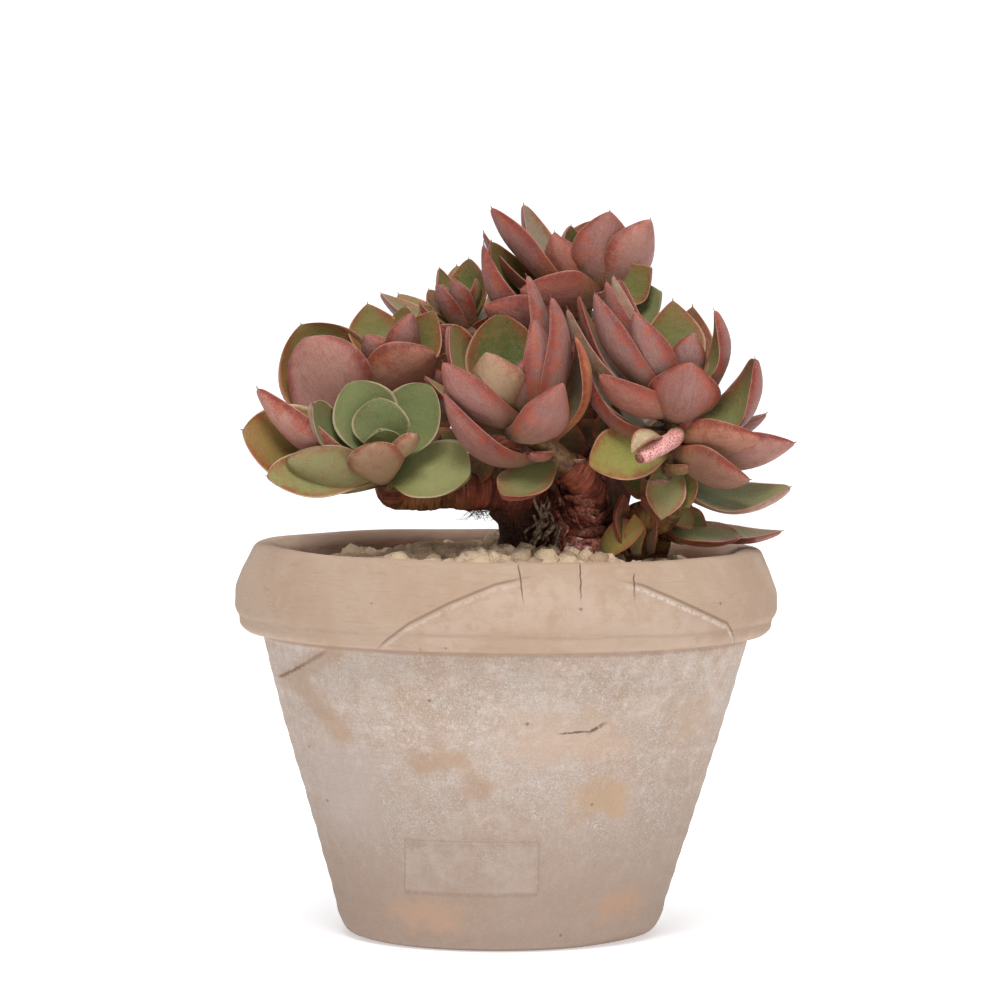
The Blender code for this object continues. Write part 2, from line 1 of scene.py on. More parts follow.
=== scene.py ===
"""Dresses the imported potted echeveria: a hand-made clay pot, pumice gravel, scarred woody stems and
rosettes of waxy leaves. Lengths are in millimetres, and metres in the studio.
"""
import math
import random
from itertools import product

import bpy
import numpy as np
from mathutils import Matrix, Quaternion, Vector
from mathutils.kdtree import KDTree


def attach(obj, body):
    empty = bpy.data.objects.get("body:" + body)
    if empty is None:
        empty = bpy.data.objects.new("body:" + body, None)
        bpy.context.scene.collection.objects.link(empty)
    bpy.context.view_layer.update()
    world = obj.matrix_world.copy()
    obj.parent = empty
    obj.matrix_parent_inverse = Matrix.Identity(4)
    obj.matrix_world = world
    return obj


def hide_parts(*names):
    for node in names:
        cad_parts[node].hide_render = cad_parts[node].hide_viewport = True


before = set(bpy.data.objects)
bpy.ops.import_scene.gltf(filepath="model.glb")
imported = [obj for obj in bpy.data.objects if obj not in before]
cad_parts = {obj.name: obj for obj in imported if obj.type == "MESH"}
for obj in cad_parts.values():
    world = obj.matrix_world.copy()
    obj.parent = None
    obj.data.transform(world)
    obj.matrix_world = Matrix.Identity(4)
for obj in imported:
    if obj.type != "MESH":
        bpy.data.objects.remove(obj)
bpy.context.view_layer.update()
MM = 0.001

# ---------------------------------------------------------------------------------------------
# The studio: a pale seamless sheet under and behind the pot, a wide soft light above the
# camera's left shoulder, a weaker one at the right, and a camera level with the leaves.
scene = bpy.context.scene
scene.view_settings.view_transform = "Standard"


def colour(red, green, blue):
    """A colour given as 0 to 255 screen values, made linear, with full cover."""
    return tuple((v / 12.92 if v <= 0.04045 else ((v + 0.055) / 1.055) ** 2.4)
                 for v in (red / 255, green / 255, blue / 255)) + (1.0,)


class Shade:
    """A value on its way through a finish's nodes. Plain operators add the Math nodes that work
    them out, and node() adds any other kind.
    """

    def __init__(self, tree, socket):
        self.tree, self.socket = tree, socket

    def node(self, kind, settings=None, inputs=None, output=0):
        """Adds a node: its settings first, then the values or links of its sockets."""
        made = self.tree.nodes.new("ShaderNode" + kind)
        for key, value in (settings or {}).items():
            setattr(made, key, value)
        for key, value in (inputs or {}).items():
            if isinstance(value, Shade):
                self.tree.links.new(value.socket, made.inputs[key])
            else:
                made.inputs[key].default_value = value
        return Shade(self.tree, made.outputs[output])

    def math(self, operation, *values):
        return self.node("Math", {"operation": operation}, dict(enumerate(values)))

    def __add__(self, other): return self.math("ADD", self, other)
    def __radd__(self, other): return self.math("ADD", other, self)
    def __sub__(self, other): return self.math("SUBTRACT", self, other)
    def __rsub__(self, other): return self.math("SUBTRACT", other, self)
    def __mul__(self, other): return self.math("MULTIPLY", self, other)
    def __truediv__(self, other): return self.math("DIVIDE", self, other)
    def __abs__(self): return self.math("ABSOLUTE", self)

    def step(self, low, high):
        """0 at or under low, 1 at or over high, smooth between; low may be the larger one."""
        settings = {"interpolation_type": "SMOOTHSTEP", "clamp": True}
        return self.node("MapRange", settings, {0: self, 1: low, 2: high, 3: 0.0, 4: 1.0})

    def tint(self, first, second):
        """first where this value is 0, second where it is 1."""
        return self.node("Mix", {"data_type": "RGBA"}, {0: self, 6: first, 7: second}, 2)

    def blend(self, low, high, first, second):
        """A step between two screen colours."""
        return self.step(low, high).tint(colour(*first), colour(*second))

    def near(self, middle, inside, outside):
        """1 where this value is within inside of a middle, 0 from outside on."""
        return 1.0 - abs(self - middle).step(inside, outside)

    def vector(self, operation, other=(0, 0, 0), output=0):
        return self.node("VectorMath", {"operation": operation}, {0: self, 1: other}, output)

    def length(self):
        return self.vector("LENGTH", output=1)

    def axes(self):
        parts = self.tree.nodes.new("ShaderNodeSeparateXYZ")
        self.tree.links.new(self.socket, parts.inputs[0])
        return [Shade(self.tree, part) for part in parts.outputs]

    def noise(self, scale, detail=3.0, roughness=0.5, distortion=0.0, output=0):
        return self.node("TexNoise", None, {"Vector": self, "Scale": scale, "Detail": detail,
                                            "Roughness": roughness, "Distortion": distortion},
                         output)


class Finish(Shade):
    """A material: its Principled shader's own constants, and the values that reach it."""

    def __init__(self, name, **constants):
        self.material = bpy.data.materials.new(name)
        self.material.use_nodes = True
        self.tree = self.material.node_tree
        self.shader = self.tree.nodes["Principled BSDF"]
        for key, value in constants.items():
            self.shader.inputs[key.replace("_", " ")].default_value = value

    def place(self):
        """Where a point is on the object, in millimetres."""
        return self.node("TexCoord", output="Object").vector("MULTIPLY", (1000.0, 1000.0, 1000.0))

    def attribute(self, name, output="Vector"):
        return self.node("Attribute", {"attribute_name": name}, None, output)

    def wear(self, base, roughness=None, height=None, distance=0.0003, strength=1.0):
        """Sends a colour, a roughness and a bump height to the shader."""
        self.tree.links.new(base.socket, self.shader.inputs["Base Color"])
        if roughness is not None:
            self.tree.links.new(roughness.socket, self.shader.inputs["Roughness"])
        if height is not None:
            bump = self.node("Bump", None, {"Height": height, "Distance": distance,
                                            "Strength": strength})
            self.tree.links.new(bump.socket, self.shader.inputs["Normal"])


def coated(base, *coats):
    """A base under coats of tint: where each lies, how strong it is, and its screen colour."""
    for where, strength, tone in coats:
        base = (where * strength).tint(base, colour(*tone))
    return base


def add_piece(name, surface, finish, **stored):
    """A smooth mesh piece from a surface's points in millimetres and its four- and three-cornered
    faces, with values stored at its points: those given, or the surface's own for True.
    """
    points, quads, triangles = surface[:3]
    mesh = bpy.data.meshes.new(name)
    mesh.vertices.add(len(points))
    mesh.vertices.foreach_set("co", (np.asarray(points) * MM).astype(np.float32).ravel())
    corners = np.concatenate([np.ravel(quads), np.ravel(triangles)]).astype(np.int32)
    starts = np.concatenate([np.arange(len(quads)) * 4,
                             len(quads) * 4 + np.arange(len(triangles)) * 3]).astype(np.int32)
    mesh.loops.add(len(corners))
    mesh.loops.foreach_set("vertex_index", corners)
    mesh.polygons.add(len(starts))
    mesh.polygons.foreach_set("loop_start", starts)
    mesh.polygons.foreach_set("use_smooth", np.ones(len(starts), bool))
    mesh.update(calc_edges=True)
    kinds = {1: ("FLOAT", "value"), 3: ("FLOAT_VECTOR", "vector"), 4: ("FLOAT_COLOR", "color")}
    for key, values in stored.items():
        values = np.asarray(surface[3] if values is True else values, np.float32)
        kind, field = kinds[1 if values.ndim == 1 else values.shape[1]]
        mesh.attributes.new(key, kind, "POINT").data.foreach_set(field, values.ravel())
    mesh.materials.append(finish.material)
    piece = bpy.data.objects.new(name, mesh)
    scene.collection.objects.link(piece)
    return piece


def unit(vectors):
    return vectors / np.linalg.norm(vectors, axis=-1, keepdims=True)


def turns(around):
    return np.arange(around) * 2 * math.pi / around


def closed_surface(ring, ends, values=None, end_values=None, turned=False):
    """A surface through rings of points, closed by a fan round each of two end points, with the
    values at its points. turned is for rings that run the other way round.
    """
    rings, around = ring.shape[:2]
    step, row = np.arange(around), np.arange(rings - 1)[:, None] * around
    after, last = (step + 1) % around, (rings - 1) * around
    quads = np.stack([row + step, row + after, row + around + after, row + around + step],
                     axis=-1).reshape(-1, 4)
    centre = np.full(around, rings * around)
    caps = np.vstack([np.stack([centre, after, step], axis=-1),
                      np.stack([centre + 1, last + step, last + after], axis=-1)])
    if turned:
        quads, caps = quads[:, ::-1], caps[:, ::-1]
    if values is not None:
        end_values = [values[0, 0], values[-1, 0]] if end_values is None else end_values
        values = np.vstack([values.reshape(rings * around, -1), end_values])
    return np.vstack([ring.reshape(-1, 3), ends]), quads, caps, values


def joined(surfaces):
    """Several surfaces as one."""
    starts = np.cumsum([0] + [len(surface[0]) for surface in surfaces[:-1]])
    points, quads, caps, values = zip(*surfaces)
    return (np.vstack(points), np.vstack([part + start for part, start in zip(quads, starts)]),
            np.vstack([part + start for part, start in zip(caps, starts)]),
            None if values[0] is None else np.vstack(values))


# the sheet's half width, its front edge, where it starts to curve up, that curve's radius, its top
SHEET_HALF_WIDTH, SHEET_FRONT, SHEET_BACK, SHEET_CURVE, SHEET_TOP = 3.0, -3.0, 1.6, 1.0, 4.0
LIGHT_AIM = Vector((0, 0, 0.15))
DAYLIGHT = (0.98, 0.985, 1.0, 1.0)
paper = Finish("seamless_paper", Roughness=0.9, Base_Color=colour(238, 238, 240),
               Emission_Color=DAYLIGHT, Emission_Strength=0.42)
sweep = np.linspace(0, math.pi / 2, 24)
track = np.vstack([[SHEET_FRONT, 0.0],
                   np.stack([SHEET_BACK + SHEET_CURVE * np.sin(sweep),
                             SHEET_CURVE - SHEET_CURVE * np.cos(sweep)], axis=1),
                   [SHEET_BACK + SHEET_CURVE, SHEET_TOP]])
sides = np.tile([-SHEET_HALF_WIDTH, SHEET_HALF_WIDTH], len(track))
sheet_points = np.column_stack([sides, np.repeat(track, 2, axis=0)]) / MM
row = np.arange(len(track) - 1) * 2
sheet_faces = np.stack([row, row + 1, row + 3, row + 2], axis=1)
sheet = add_piece("studio_sheet", (sheet_points, sheet_faces, []), paper)

for name, place, size, power in [("key_light", (-0.15, -1.5, 2.3), 1.0, 46),
                                 ("fill_light", (1.6, -1.5, 0.9), 1.2, 6),
                                 ("top_light", (0.2, 0.5, 2.2), 1.4, 14)]:
    lamp = bpy.data.lights.new(name, "AREA")
    lamp.shape, lamp.size, lamp.energy = "SQUARE", size, power
    light = bpy.data.objects.new(name, lamp)
    light.location = place
    light.rotation_euler = (LIGHT_AIM - Vector(place)).to_track_quat("-Z", "Y").to_euler()
    scene.collection.objects.link(light)
world = bpy.data.worlds.new("studio")
scene.world = world
world.use_nodes = True
world.node_tree.nodes["Background"].inputs["Color"].default_value = DAYLIGHT
world.node_tree.nodes["Background"].inputs["Strength"].default_value = 0.28

camera_data = bpy.data.cameras.new("camera")
camera_data.sensor_width, camera_data.lens, camera_data.clip_end = 36.0, 201.6, 20.0
camera = bpy.data.objects.new("camera", camera_data)
camera.location = (0.0, -2.06, 0.287)
camera.rotation_euler = (math.radians(90 - 3.53), 0, 0)
scene.collection.objects.link(camera)
scene.camera = camera

# ---------------------------------------------------------------------------------------------
# The pot: thrown and hand-finished clay, fired but not glazed. Its rim is rolled outwards and
# folded over at the front, it leans a little, and lime has come through the wall.
POT_HEIGHT, RIM_RADIUS, RIM_SHIFT, RIM_DROP = 143.2, 100.0, 2.5, 1.3
POT_AROUND = 440
# radius, height and the number of rings up to the next point
POT_PROFILE = [(0, 9, 1), (49, 9, 1), (49.96, 12, 2), (75.8, 92.7, 6), (80.5, 112, 8),
               (80.0, 134, 6), (82.4, 140.8, 4), (86, 142.9, 4), (90.4, 143.2, 4),
               (92.9, 142.6, 4), (94.3, 140.4, 4), (96.9, 134.8, 5), (99.4, 128.4, 5),
               (100, 123.8, 5), (99.4, 118.9, 3), (98.5, 117.2, 4), (97.7, 113.9, 3),
               (95.8, 112.0, 3), (90.7, 111.2, 3), (89.5, 109.8, 3), (88.95, 107.8, 6),
               (84.85, 92.7, 84), (61.3, 13.5, 5), (58.9, 5.2, 5), (56.4, 1.6, 4), (52.0, 0, 4),
               (0, 0, 0)]
# the folds of the rim: the line's places across (x) and up (z)
FOLD_LEFT = [(-47, 110), (-42.6, 115), (-34.4, 121.6), (-20, 129.2), (-4.2, 135.9), (7, 138.4),
             (14, 139.2)]
FOLD_RIGHT = [(36, 138.0), (48, 135.4), (59, 130.6), (70, 125.2), (80, 119.8), (82.4, 115.5),
              (83, 110)]
BETWEEN_FOLDS = 25
FOLD_DEPTH, PANEL_DEPTH, CHIPPED_FOOT = 0.9, 0.9, 1.6
# the pressed panel's left, right, bottom and top
PANEL_LEFT, PANEL_RIGHT, PANEL_BOTTOM, PANEL_TOP = -35.3, 13.7, 19.8, 42.0
DRAINS, DRAIN_RADIUS, DRAIN_REACH, DRAIN_FROM, DRAIN_TO = 3, 6, 25, -4, 13


def lean(points):
    """The pot's slight lean, as in the solid: each level slides right and dips with height."""
    x, y, z = points[..., 0].copy(), points[..., 1], points[..., 2]
    x = x + RIM_SHIFT / POT_HEIGHT * z
    return np.stack([x, y, z - RIM_DROP / RIM_RADIUS * x * (z / POT_HEIGHT) ** 2], axis=-1)


def smooth_line(points, counts):
    """Points on a smooth curve through the given ones. Each stretch is a cubic whose slope at
    an end points the way its two stretches do there, the shorter one counting more.
    """
    points = np.array(points, float)
    steps = np.diff(points, axis=0)
    lengths = np.linalg.norm(steps, axis=1)
    ways = steps / lengths[:, None]
    slopes = ways[:-1] / lengths[:-1, None] + ways[1:] / lengths[1:, None]
    slopes = np.vstack([ways[:1], unit(slopes), ways[-1:]])
    pieces = []
    for k, count in enumerate(counts):
        t = (np.arange(count) / count)[:, None]
        bend = slopes[k] * (t ** 3 - 2 * t ** 2 + t) + slopes[k + 1] * (t ** 3 - t ** 2)
        share = 3 * t ** 2 - 2 * t ** 3
        pieces.append(points[k] * (1 - share) + points[k + 1] * share + lengths[k] * bend)
    return np.vstack(pieces + [points[-1:]])


def bump_step(value, low, high):
    """0 below low, 1 above high and a smooth rise between."""
    t = np.clip((value - low) / (high - low), 0, 1)
    return t * t * (3 - 2 * t)


def between(value, low, in_low, in_high, high):
    """1 between the inner two bounds, 0 outside the outer two and smooth steps between them."""
    return bump_step(value, low, in_low) * (1 - bump_step(value, in_high, high))


profile = smooth_line([p[:2] for p in POT_PROFILE], [p[2] for p in POT_PROFILE[:-1]])[1:-1]
profile[:, 1] = np.clip(profile[:, 1], 0, None)
turn = turns(POT_AROUND)
radius, height = profile[:, :1], profile[:, 1:]
x, y = radius * np.cos(turn), radius * np.sin(turn)
level = height + 0 * x
past_crest = (np.arange(len(profile)) > np.argmax(profile[:, 1]))[:, None]
outside = past_crest * bump_step(height, 2.0, 12.0)
front = (y < 0) * outside
above = level - np.where(x < BETWEEN_FOLDS, np.interp(x, *np.transpose(FOLD_LEFT)),
                         np.interp(x, *np.transpose(FOLD_RIGHT)))
folded = between(x, -47, -42, -2, 12) + between(x, 38, 50, 82, 83.5)
folded = folded * front * between(level, 109.5, 111.5, 138.5, 142.0)
recess = bump_step(-above, -0.3, 0.6) * np.exp(-np.clip(-above, 0, 40) / 9.0) * folded
wobble = 0.28 * np.sin(3 * turn + 0.6) + 0.16 * np.sin(7 * turn + height * 0.05) \
    + 0.09 * np.sin(13 * turn - height * 0.11)
rings = 0.10 * np.sin(height * 0.9 + 1.5 * np.sin(2 * turn)) + 0.08 * np.sin(height * 0.37 + turn)
ripple = 0.15 * np.sin(turn * 9 + 1.0) * bump_step(height, 134.0, 141.0)
panel = between(x, PANEL_LEFT, PANEL_LEFT + 1.1, PANEL_RIGHT - 1.1, PANEL_RIGHT) * front \
    * between(level, PANEL_BOTTOM, PANEL_BOTTOM + 4, PANEL_TOP - 0.9, PANEL_TOP)
worn = -CHIPPED_FOOT * np.exp(-((turn - 5.6) / 0.35) ** 2) * past_crest \
    * (1 - bump_step(height, 1.0, 7.0))
swell = wobble * bump_step(height, 5.0, 60.0) * 0.8 + rings * outside - FOLD_DEPTH * recess \
    - PANEL_DEPTH * panel + worn
within = worn + wobble * 0.4 * bump_step(height, 60, 120)
flute = 1 + np.where(outside > 0, swell, within) * bump_step(radius, 5, 40) / radius
pot_surface = closed_surface(lean(np.stack([x * flute, y * flute, level + ripple], axis=-1)),
                             [[0, 0, 9], [0, 0, 0]], np.stack([above, folded, 0 * above], axis=-1),
                             [[9, 0, 0]] * 2, turned=True)

clay = Finish("fired_clay", Roughness=0.88, Specular_IOR_Level=0.22)
here = clay.place()
x_at, y_at, z_at = here.axes()
at_front = y_at.step(0.0, -5.0)
from_axis = here.vector("MULTIPLY", (1.0, 1.0, 0.0)).length()
warp = here.noise(0.07, 3.0, 0.6, output="Color").vector("SUBTRACT", (0.5, 0.5, 0.5))
warped = here.vector("ADD", warp.vector("MULTIPLY", (26.0, 26.0, 26.0)))
clouds = here.noise(0.022, 4.0, 0.62, 0.4)
mottle = here.noise(0.15, 5.0, 0.68, 0.3)
brushed = here.vector("MULTIPLY", (0.10, 0.10, 0.9)).noise(1.0, 4.0, 0.65)
fleck = here.noise(0.42, 5.0, 0.75)
grain = here.noise(1.6, 4.0, 0.75)
on_rim = z_at.step(109.8, 111.6)
wall = coated(clouds.blend(0.36, 0.64, (187, 164, 146), (195, 177, 163)),
              (mottle.step(0.48, 0.68), 0.55, (216, 204, 195)),
              (mottle.step(0.46, 0.3), 0.55, (180, 152, 131)),
              (fleck.step(0.5, 0.66), 0.5, (224, 210, 198)),
              (fleck.step(0.44, 0.34), 0.35, (184, 156, 134)),
              (grain.step(0.52, 0.62), 0.55, (228, 218, 209)),
              (grain.step(0.45, 0.34), 0.55, (172, 144, 122)),
              # painted shade: the wall darkens towards its foot
              (z_at.step(92.0, 14.0), 0.8, (164, 143, 128)))
rim_tone = coated(clouds.blend(0.36, 0.64, (186, 158, 135), (192, 168, 147)),
                  (mottle.step(0.5, 0.75), 0.4, (204, 180, 160)),
                  (brushed.step(0.48, 0.3), 0.4, (172, 144, 120)))
# lime that has come through the wall: a pale bloom under the rim and speckles below it
bloom = z_at.near(98.0, 2.0, 24.0) * here.noise(0.035, 3.0, 0.6).step(0.4, 0.6)
band = z_at.near(94.0, 2.0, 22.0) + z_at.near(56.0, 0.0, 34.0)
crust = band.math("MINIMUM", band, 1.0) * here.noise(0.06, 3.0, 0.65).step(0.42, 0.6)
lime = crust * here.noise(1.5, 4.0, 0.85).step(0.52, 0.6)
base = coated(on_rim.tint(wall, rim_tone), (brushed.step(0.5, 0.7), 0.4, (180, 152, 130)),
              (bloom * mottle.step(0.34, 0.62), 0.35, (216, 200, 186)),
              (lime * (1.0 - on_rim), 0.7, (240, 236, 232)))

# stains with ragged edges: each one's middle, radii, colour and strength
for middle, radii, tone, strength in [
        ((-22, -80, 72), (15, 26, 9), (184, 152, 126), 0.75),
        ((-10, -78, 62), (9, 26, 7), (180, 148, 122), 0.6),
        ((38, -70, 56), (14, 26, 9), (196, 162, 128), 0.75),
        ((48, -60, 16), (18, 26, 10), (200, 154, 120), 0.7),
        ((-30, -64, 14), (24, 26, 8), (198, 160, 132), 0.55),
        ((26, -80, 80), (34, 26, 12), (202, 174, 152), 0.6),
        ((-60, -50, 60), (24, 30, 26), (196, 180, 172), 0.55),
        ((68, -40, 88), (14, 30, 14), (198, 170, 146), 0.5),
        ((30, 76, 60), (26, 26, 15), (190, 156, 126), 0.6),
        ((-40, 70, 88), (20, 26, 12), (188, 156, 130), 0.6)]:
    away = warped.vector("SUBTRACT", middle).vector("DIVIDE", radii).length()
    base = coated(base, (1.0 - (away + (mottle - 0.5) * 0.7).step(0.35, 1.15), strength, tone))


def stroke(start, end, width, ragged=1.6):
    """Where a place on the pot's front lies on a straight stroke between two places (x, z)."""
    run = (end[0] - start[0], end[1] - start[1])
    length = math.hypot(*run)
    jitter = (here.noise(0.5, 2.0) - 0.5) * ragged
    off = abs(((x_at - start[0]) * run[1] - (z_at - start[1]) * run[0]) / length + jitter)
    along = ((x_at - start[0]) * run[0] + (z_at - start[1]) * run[1]) / length
    inside = along.step(-1.0, 1.5) * (1.0 - along.step(length - 3.0, length + 1.5))
    return (1.0 - off.step(width * 0.3, width)) * inside * at_front


scratch = stroke((21.0, 81.6), (33.0, 82.2), 0.5, 0.8)
scratch = scratch.math("MAXIMUM", scratch, stroke((31.5, 81.6), (37.8, 85.0), 0.9, 0.8))
base = coated(base, (stroke((-80.0, 95.0), (-56.0, 112.5), 5.0), 0.45, (180, 146, 116)),
              (stroke((-73.0, 97.0), (-54.0, 76.0), 5.5, 3.0), 0.6, (186, 154, 126)),
              (stroke((-80.6, 96.6), (-61.5, 110.0), 1.1), 0.5, (138, 104, 76)),
              (stroke((-80.6, 96.6), (-70.0, 104.0), 0.5), 0.5, (84, 66, 50)),
              (scratch * here.noise(0.9, 2.0).step(0.3, 0.5), 0.85, (92, 78, 68)))

# the folds of the rim with a painted shadow along each fold's step, the crack lines that run down
# from its top, and the lines under it
rim_above, rim_fold, _ = clay.attribute("rim").axes()
ragged = here.noise(0.5, 4.0, 0.7)
below_fold = rim_above.near(-9.0, 3.0, 12.0) * z_at.step(111.0, 113.0) \
    * y_at.step(-60.0, -70.0)
lip = (rim_above + (ragged - 0.5) * 2.0).near(-1.5, 0.3, 1.2) * rim_fold
# a thin painted shadow along the step of each fold
fold_shadow_line = rim_above.near(0.2, 0.1, 0.75) * rim_fold
cracks_and_fold_shadow = fold_shadow_line * 0.3
for across, low, high, slant in [(6.6, 128.0, 142.4, -0.13), (28.2, 128.0, 142.4, -0.03),
                                 (47.4, 128.0, 138.5, -0.03)]:
    off = abs(x_at - across + (z_at - high) * -slant + (here.noise(0.35, 2.0) - 0.5) * 1.2)
    shut = z_at.step(low, low + 8.0) * (1.0 - z_at.step(high - 0.6, high + 1.0))
    cracks_and_fold_shadow = cracks_and_fold_shadow.math("MAXIMUM", cracks_and_fold_shadow, (1.0 - off.step(0.06, 0.34)) * shut * at_front)
step_line = (z_at + x_at * 0.013 + (here.noise(0.02, 2.0) - 0.5) * 3.0).near(117.3, 0.2, 1.1)
# where the rim meets the wall: a join, darkened also with painted shade in the crease under the rim
seam_and_shade = (z_at + x_at * 0.010).near(110.6, 0.3, 1.6) * from_axis.step(80.0, 84.0)
pits = here.node("TexVoronoi", {"feature": "F1"}, {"Vector": here, "Scale": 0.075}, "Distance")
pits = (1.0 - (pits + (grain - 0.5) * 0.03).step(0.028, 0.055)) \
    * (from_axis + z_at * -0.27).step(52.0, 56.0)
panel_x = x_at - z_at * (RIM_SHIFT / POT_HEIGHT)
in_panel = panel_x.step(PANEL_LEFT, PANEL_LEFT + 1.1) \
    * panel_x.step(PANEL_RIGHT, PANEL_RIGHT - 1.1) * z_at.step(PANEL_BOTTOM, PANEL_BOTTOM + 4.0) \
    * z_at.step(PANEL_TOP, PANEL_TOP - 0.9) * at_front
# painted shade along the edges of the pressed panel, where it steps in
panel_edge_shade = in_panel.near(0.45, 0.05, 0.5)
base = coated(base, (below_fold * mottle.step(0.36, 0.56), 0.35, (210, 188, 172)),
              (lip * ragged.step(0.40, 0.54), 0.28 + x_at.step(30.0, 45.0) * 0.3, (228, 218, 210)),
              (fold_shadow_line, 0.6, (156, 124, 98)), (cracks_and_fold_shadow, 0.8, (92, 70, 56)),
              (step_line * mottle.step(0.35, 0.6), 0.3, (160, 134, 112)),
              (seam_and_shade, 0.55, (150, 124, 104)), (pits, 0.6, (126, 100, 84)),
              (in_panel * mottle.step(0.3, 0.6), 0.12, (214, 202, 193)),
              (panel_edge_shade * ragged.step(0.3, 0.5), 0.45, (146, 120, 102)))
# the inner wall, darker and browner: partly damp clay, partly painted shade inside the pot; paler
# again along the rim's top edge
inner = from_axis.step(84.5, 82.0) * z_at.step(100.0, 104.0)
inner_tone = brushed.blend(0.35, 0.7, (146, 120, 104), (172, 148, 130))
base = coated((inner * 0.85).tint(base, inner_tone),
              (inner * z_at.step(139.4, 141.8), 0.6, (196, 170, 146)))
relief = grain * 0.9 + brushed * 0.6 + lime * 0.5 + fleck * 0.4 - cracks_and_fold_shadow * 2.5 - pits * 2.5 \
    + mottle * 0.6
clay.wear(base, height=relief, distance=0.0005, strength=0.6)

pot = add_piece("clay_pot", pot_surface, clay, rim=True)
circle = DRAIN_RADIUS * np.stack([np.cos(turns(32)), np.sin(turns(32)), 0 * turns(32)], axis=1)
drills = []
for angle in turns(DRAINS) + math.pi / 2 / DRAINS:
    ends = np.array([(DRAIN_REACH * math.cos(angle), DRAIN_REACH * math.sin(angle), z)
                     for z in (DRAIN_FROM, DRAIN_TO)])
    drills.append(closed_surface(ends[:, None] + circle, ends))
drill = add_piece("drill", joined(drills), clay)
cut = pot.modifiers.new("drains", "BOOLEAN")
cut.operation, cut.solver, cut.object = "DIFFERENCE", "MANIFOLD", drill
bpy.context.view_layer.update()
depsgraph = bpy.context.evaluated_depsgraph_get()
drilled = bpy.data.meshes.new_from_object(pot.evaluated_get(depsgraph), depsgraph=depsgraph)
pot.modifiers.clear()
pot.data = drilled
bpy.data.objects.remove(drill)
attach(pot, "root")
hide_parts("pot")

# ---------------------------------------------------------------------------------------------
# The soil: a dark crumbly mix that fills the pot. It shows only through the drainage holes.
mix = Finish("crumbly_mix", Roughness=0.95)
crumb = mix.place().noise(0.9, 4.0, 0.7)
mix.wear(crumb.blend(0.3, 0.7, (52, 38, 30), (98, 76, 60)), height=crumb,
         distance=0.001)
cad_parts["soil"].data.materials.clear()
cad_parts["soil"].data.materials.append(mix.material)

# ---------------------------------------------------------------------------------------------
# The gravel: loose pumice chips, worn round at their corners, on a bed of their own dust. They
# are heaped a little towards the trunks.
SOIL_TOP, GRAVEL_EDGE, GRAVEL_CROWN, GRAVEL_RADIUS = 127.0, 130.2, 139.8, 79.4
GOLDEN_ANGLE = math.radians(137.508)
CHIPS, BIGGEST_CHIPS, BIGGEST = 1150, 10, 11.0
BED_BELOW, BED_AROUND = 1.6, 96
draw = np.random.default_rng(21)


def gravel_level(x, y):
    """The bed's height: highest in the middle and lower by the square of the distance."""
    share = (x ** 2 + y ** 2) / GRAVEL_RADIUS ** 2
    return GRAVEL_CROWN - 1.0 - (GRAVEL_CROWN - GRAVEL_EDGE) * share


# a chip: a cube whose faces are each cut in four, with its corners drawn in
corner = [place for place in product((-1, 0, 1), repeat=3) if any(place)]
chip_quads = []
for axis, sign, a, b in product(range(3), (-1, 1), (-1, 0), (-1, 0)):
    loop = [np.roll((sign, a + da, b + db), axis) for da, db in ((0, 0), (1, 0), (1, 1), (0, 1))]
    chip_quads.append([corner.index(tuple(place)) for place in loop[::sign]])
chip_shape = np.array(corner) / np.linalg.norm(corner, axis=1)[:, None] ** 0.85
k = np.arange(CHIPS)
size = np.clip(draw.lognormal(math.log(6.1), 0.28, CHIPS), 3.4, 11.5)
size[:BIGGEST_CHIPS] = BIGGEST
reach = (GRAVEL_RADIUS - 2.8) * np.sqrt((k + 0.5) / CHIPS)
place_turn = k * GOLDEN_ANGLE + draw.normal(0, 0.03, CHIPS)
size = size[draw.permutation(CHIPS)]
cx = reach * np.cos(place_turn) + draw.normal(0, 0.7, CHIPS)
cy = reach * np.sin(place_turn) + draw.normal(0, 0.7, CHIPS)
pull = np.minimum(1.0, (GRAVEL_RADIUS - 0.4) / (np.hypot(cx, cy) + size / 2))
cx, cy = cx * pull, cy * pull
cz = gravel_level(cx, cy) + draw.uniform(-0.7, 2.0, CHIPS) + 0.15 * (size - 5)
forms = chip_shape[None] * (1 + draw.uniform(-0.21, 0.21, (CHIPS, len(corner), 1)))
forms = forms * (size[:, None] / 2 * draw.uniform(0.75, 1.15, (CHIPS, 3)))[:, None]
spins = np.array([Quaternion(spin).normalized().to_matrix()
                  for spin in draw.normal(size=(CHIPS, 4))])
forms = np.einsum("nij,nkj->nki", spins, forms) + np.stack([cx, cy, cz], axis=1)[:, None]
chip_faces = (np.array(chip_quads)[None] + (k * len(corner))[:, None, None]).reshape(-1, 4)

pumice = Finish("pumice", Roughness=0.92, Specular_IOR_Level=0.2)
here = pumice.place()
own = pumice.attribute("own", "Fac")
pores = here.node("TexVoronoi", None, {"Vector": here, "Scale": 1.1}, "Distance")
fine = here.noise(1.5, 4.0, 0.7)
tone = coated(own.tint(colour(230, 204, 172), colour(200, 172, 140)),
              (fine.step(0.35, 0.7), 0.5, (236, 222, 192)),
              (1.0 - pores.step(0.06, 0.26), 0.4, (176, 144, 114)),
              (own.step(0.86, 0.95), 0.5, (182, 148, 120)))
pumice.wear(tone, height=fine * 0.6 + pores, distance=0.0004)
chips = add_piece("pumice_chips", (lean(forms.reshape(-1, 3)), chip_faces, []), pumice,
                  own=np.repeat(draw.uniform(0, 1, CHIPS), len(corner)))
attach(chips, "root")
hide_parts("gravel")

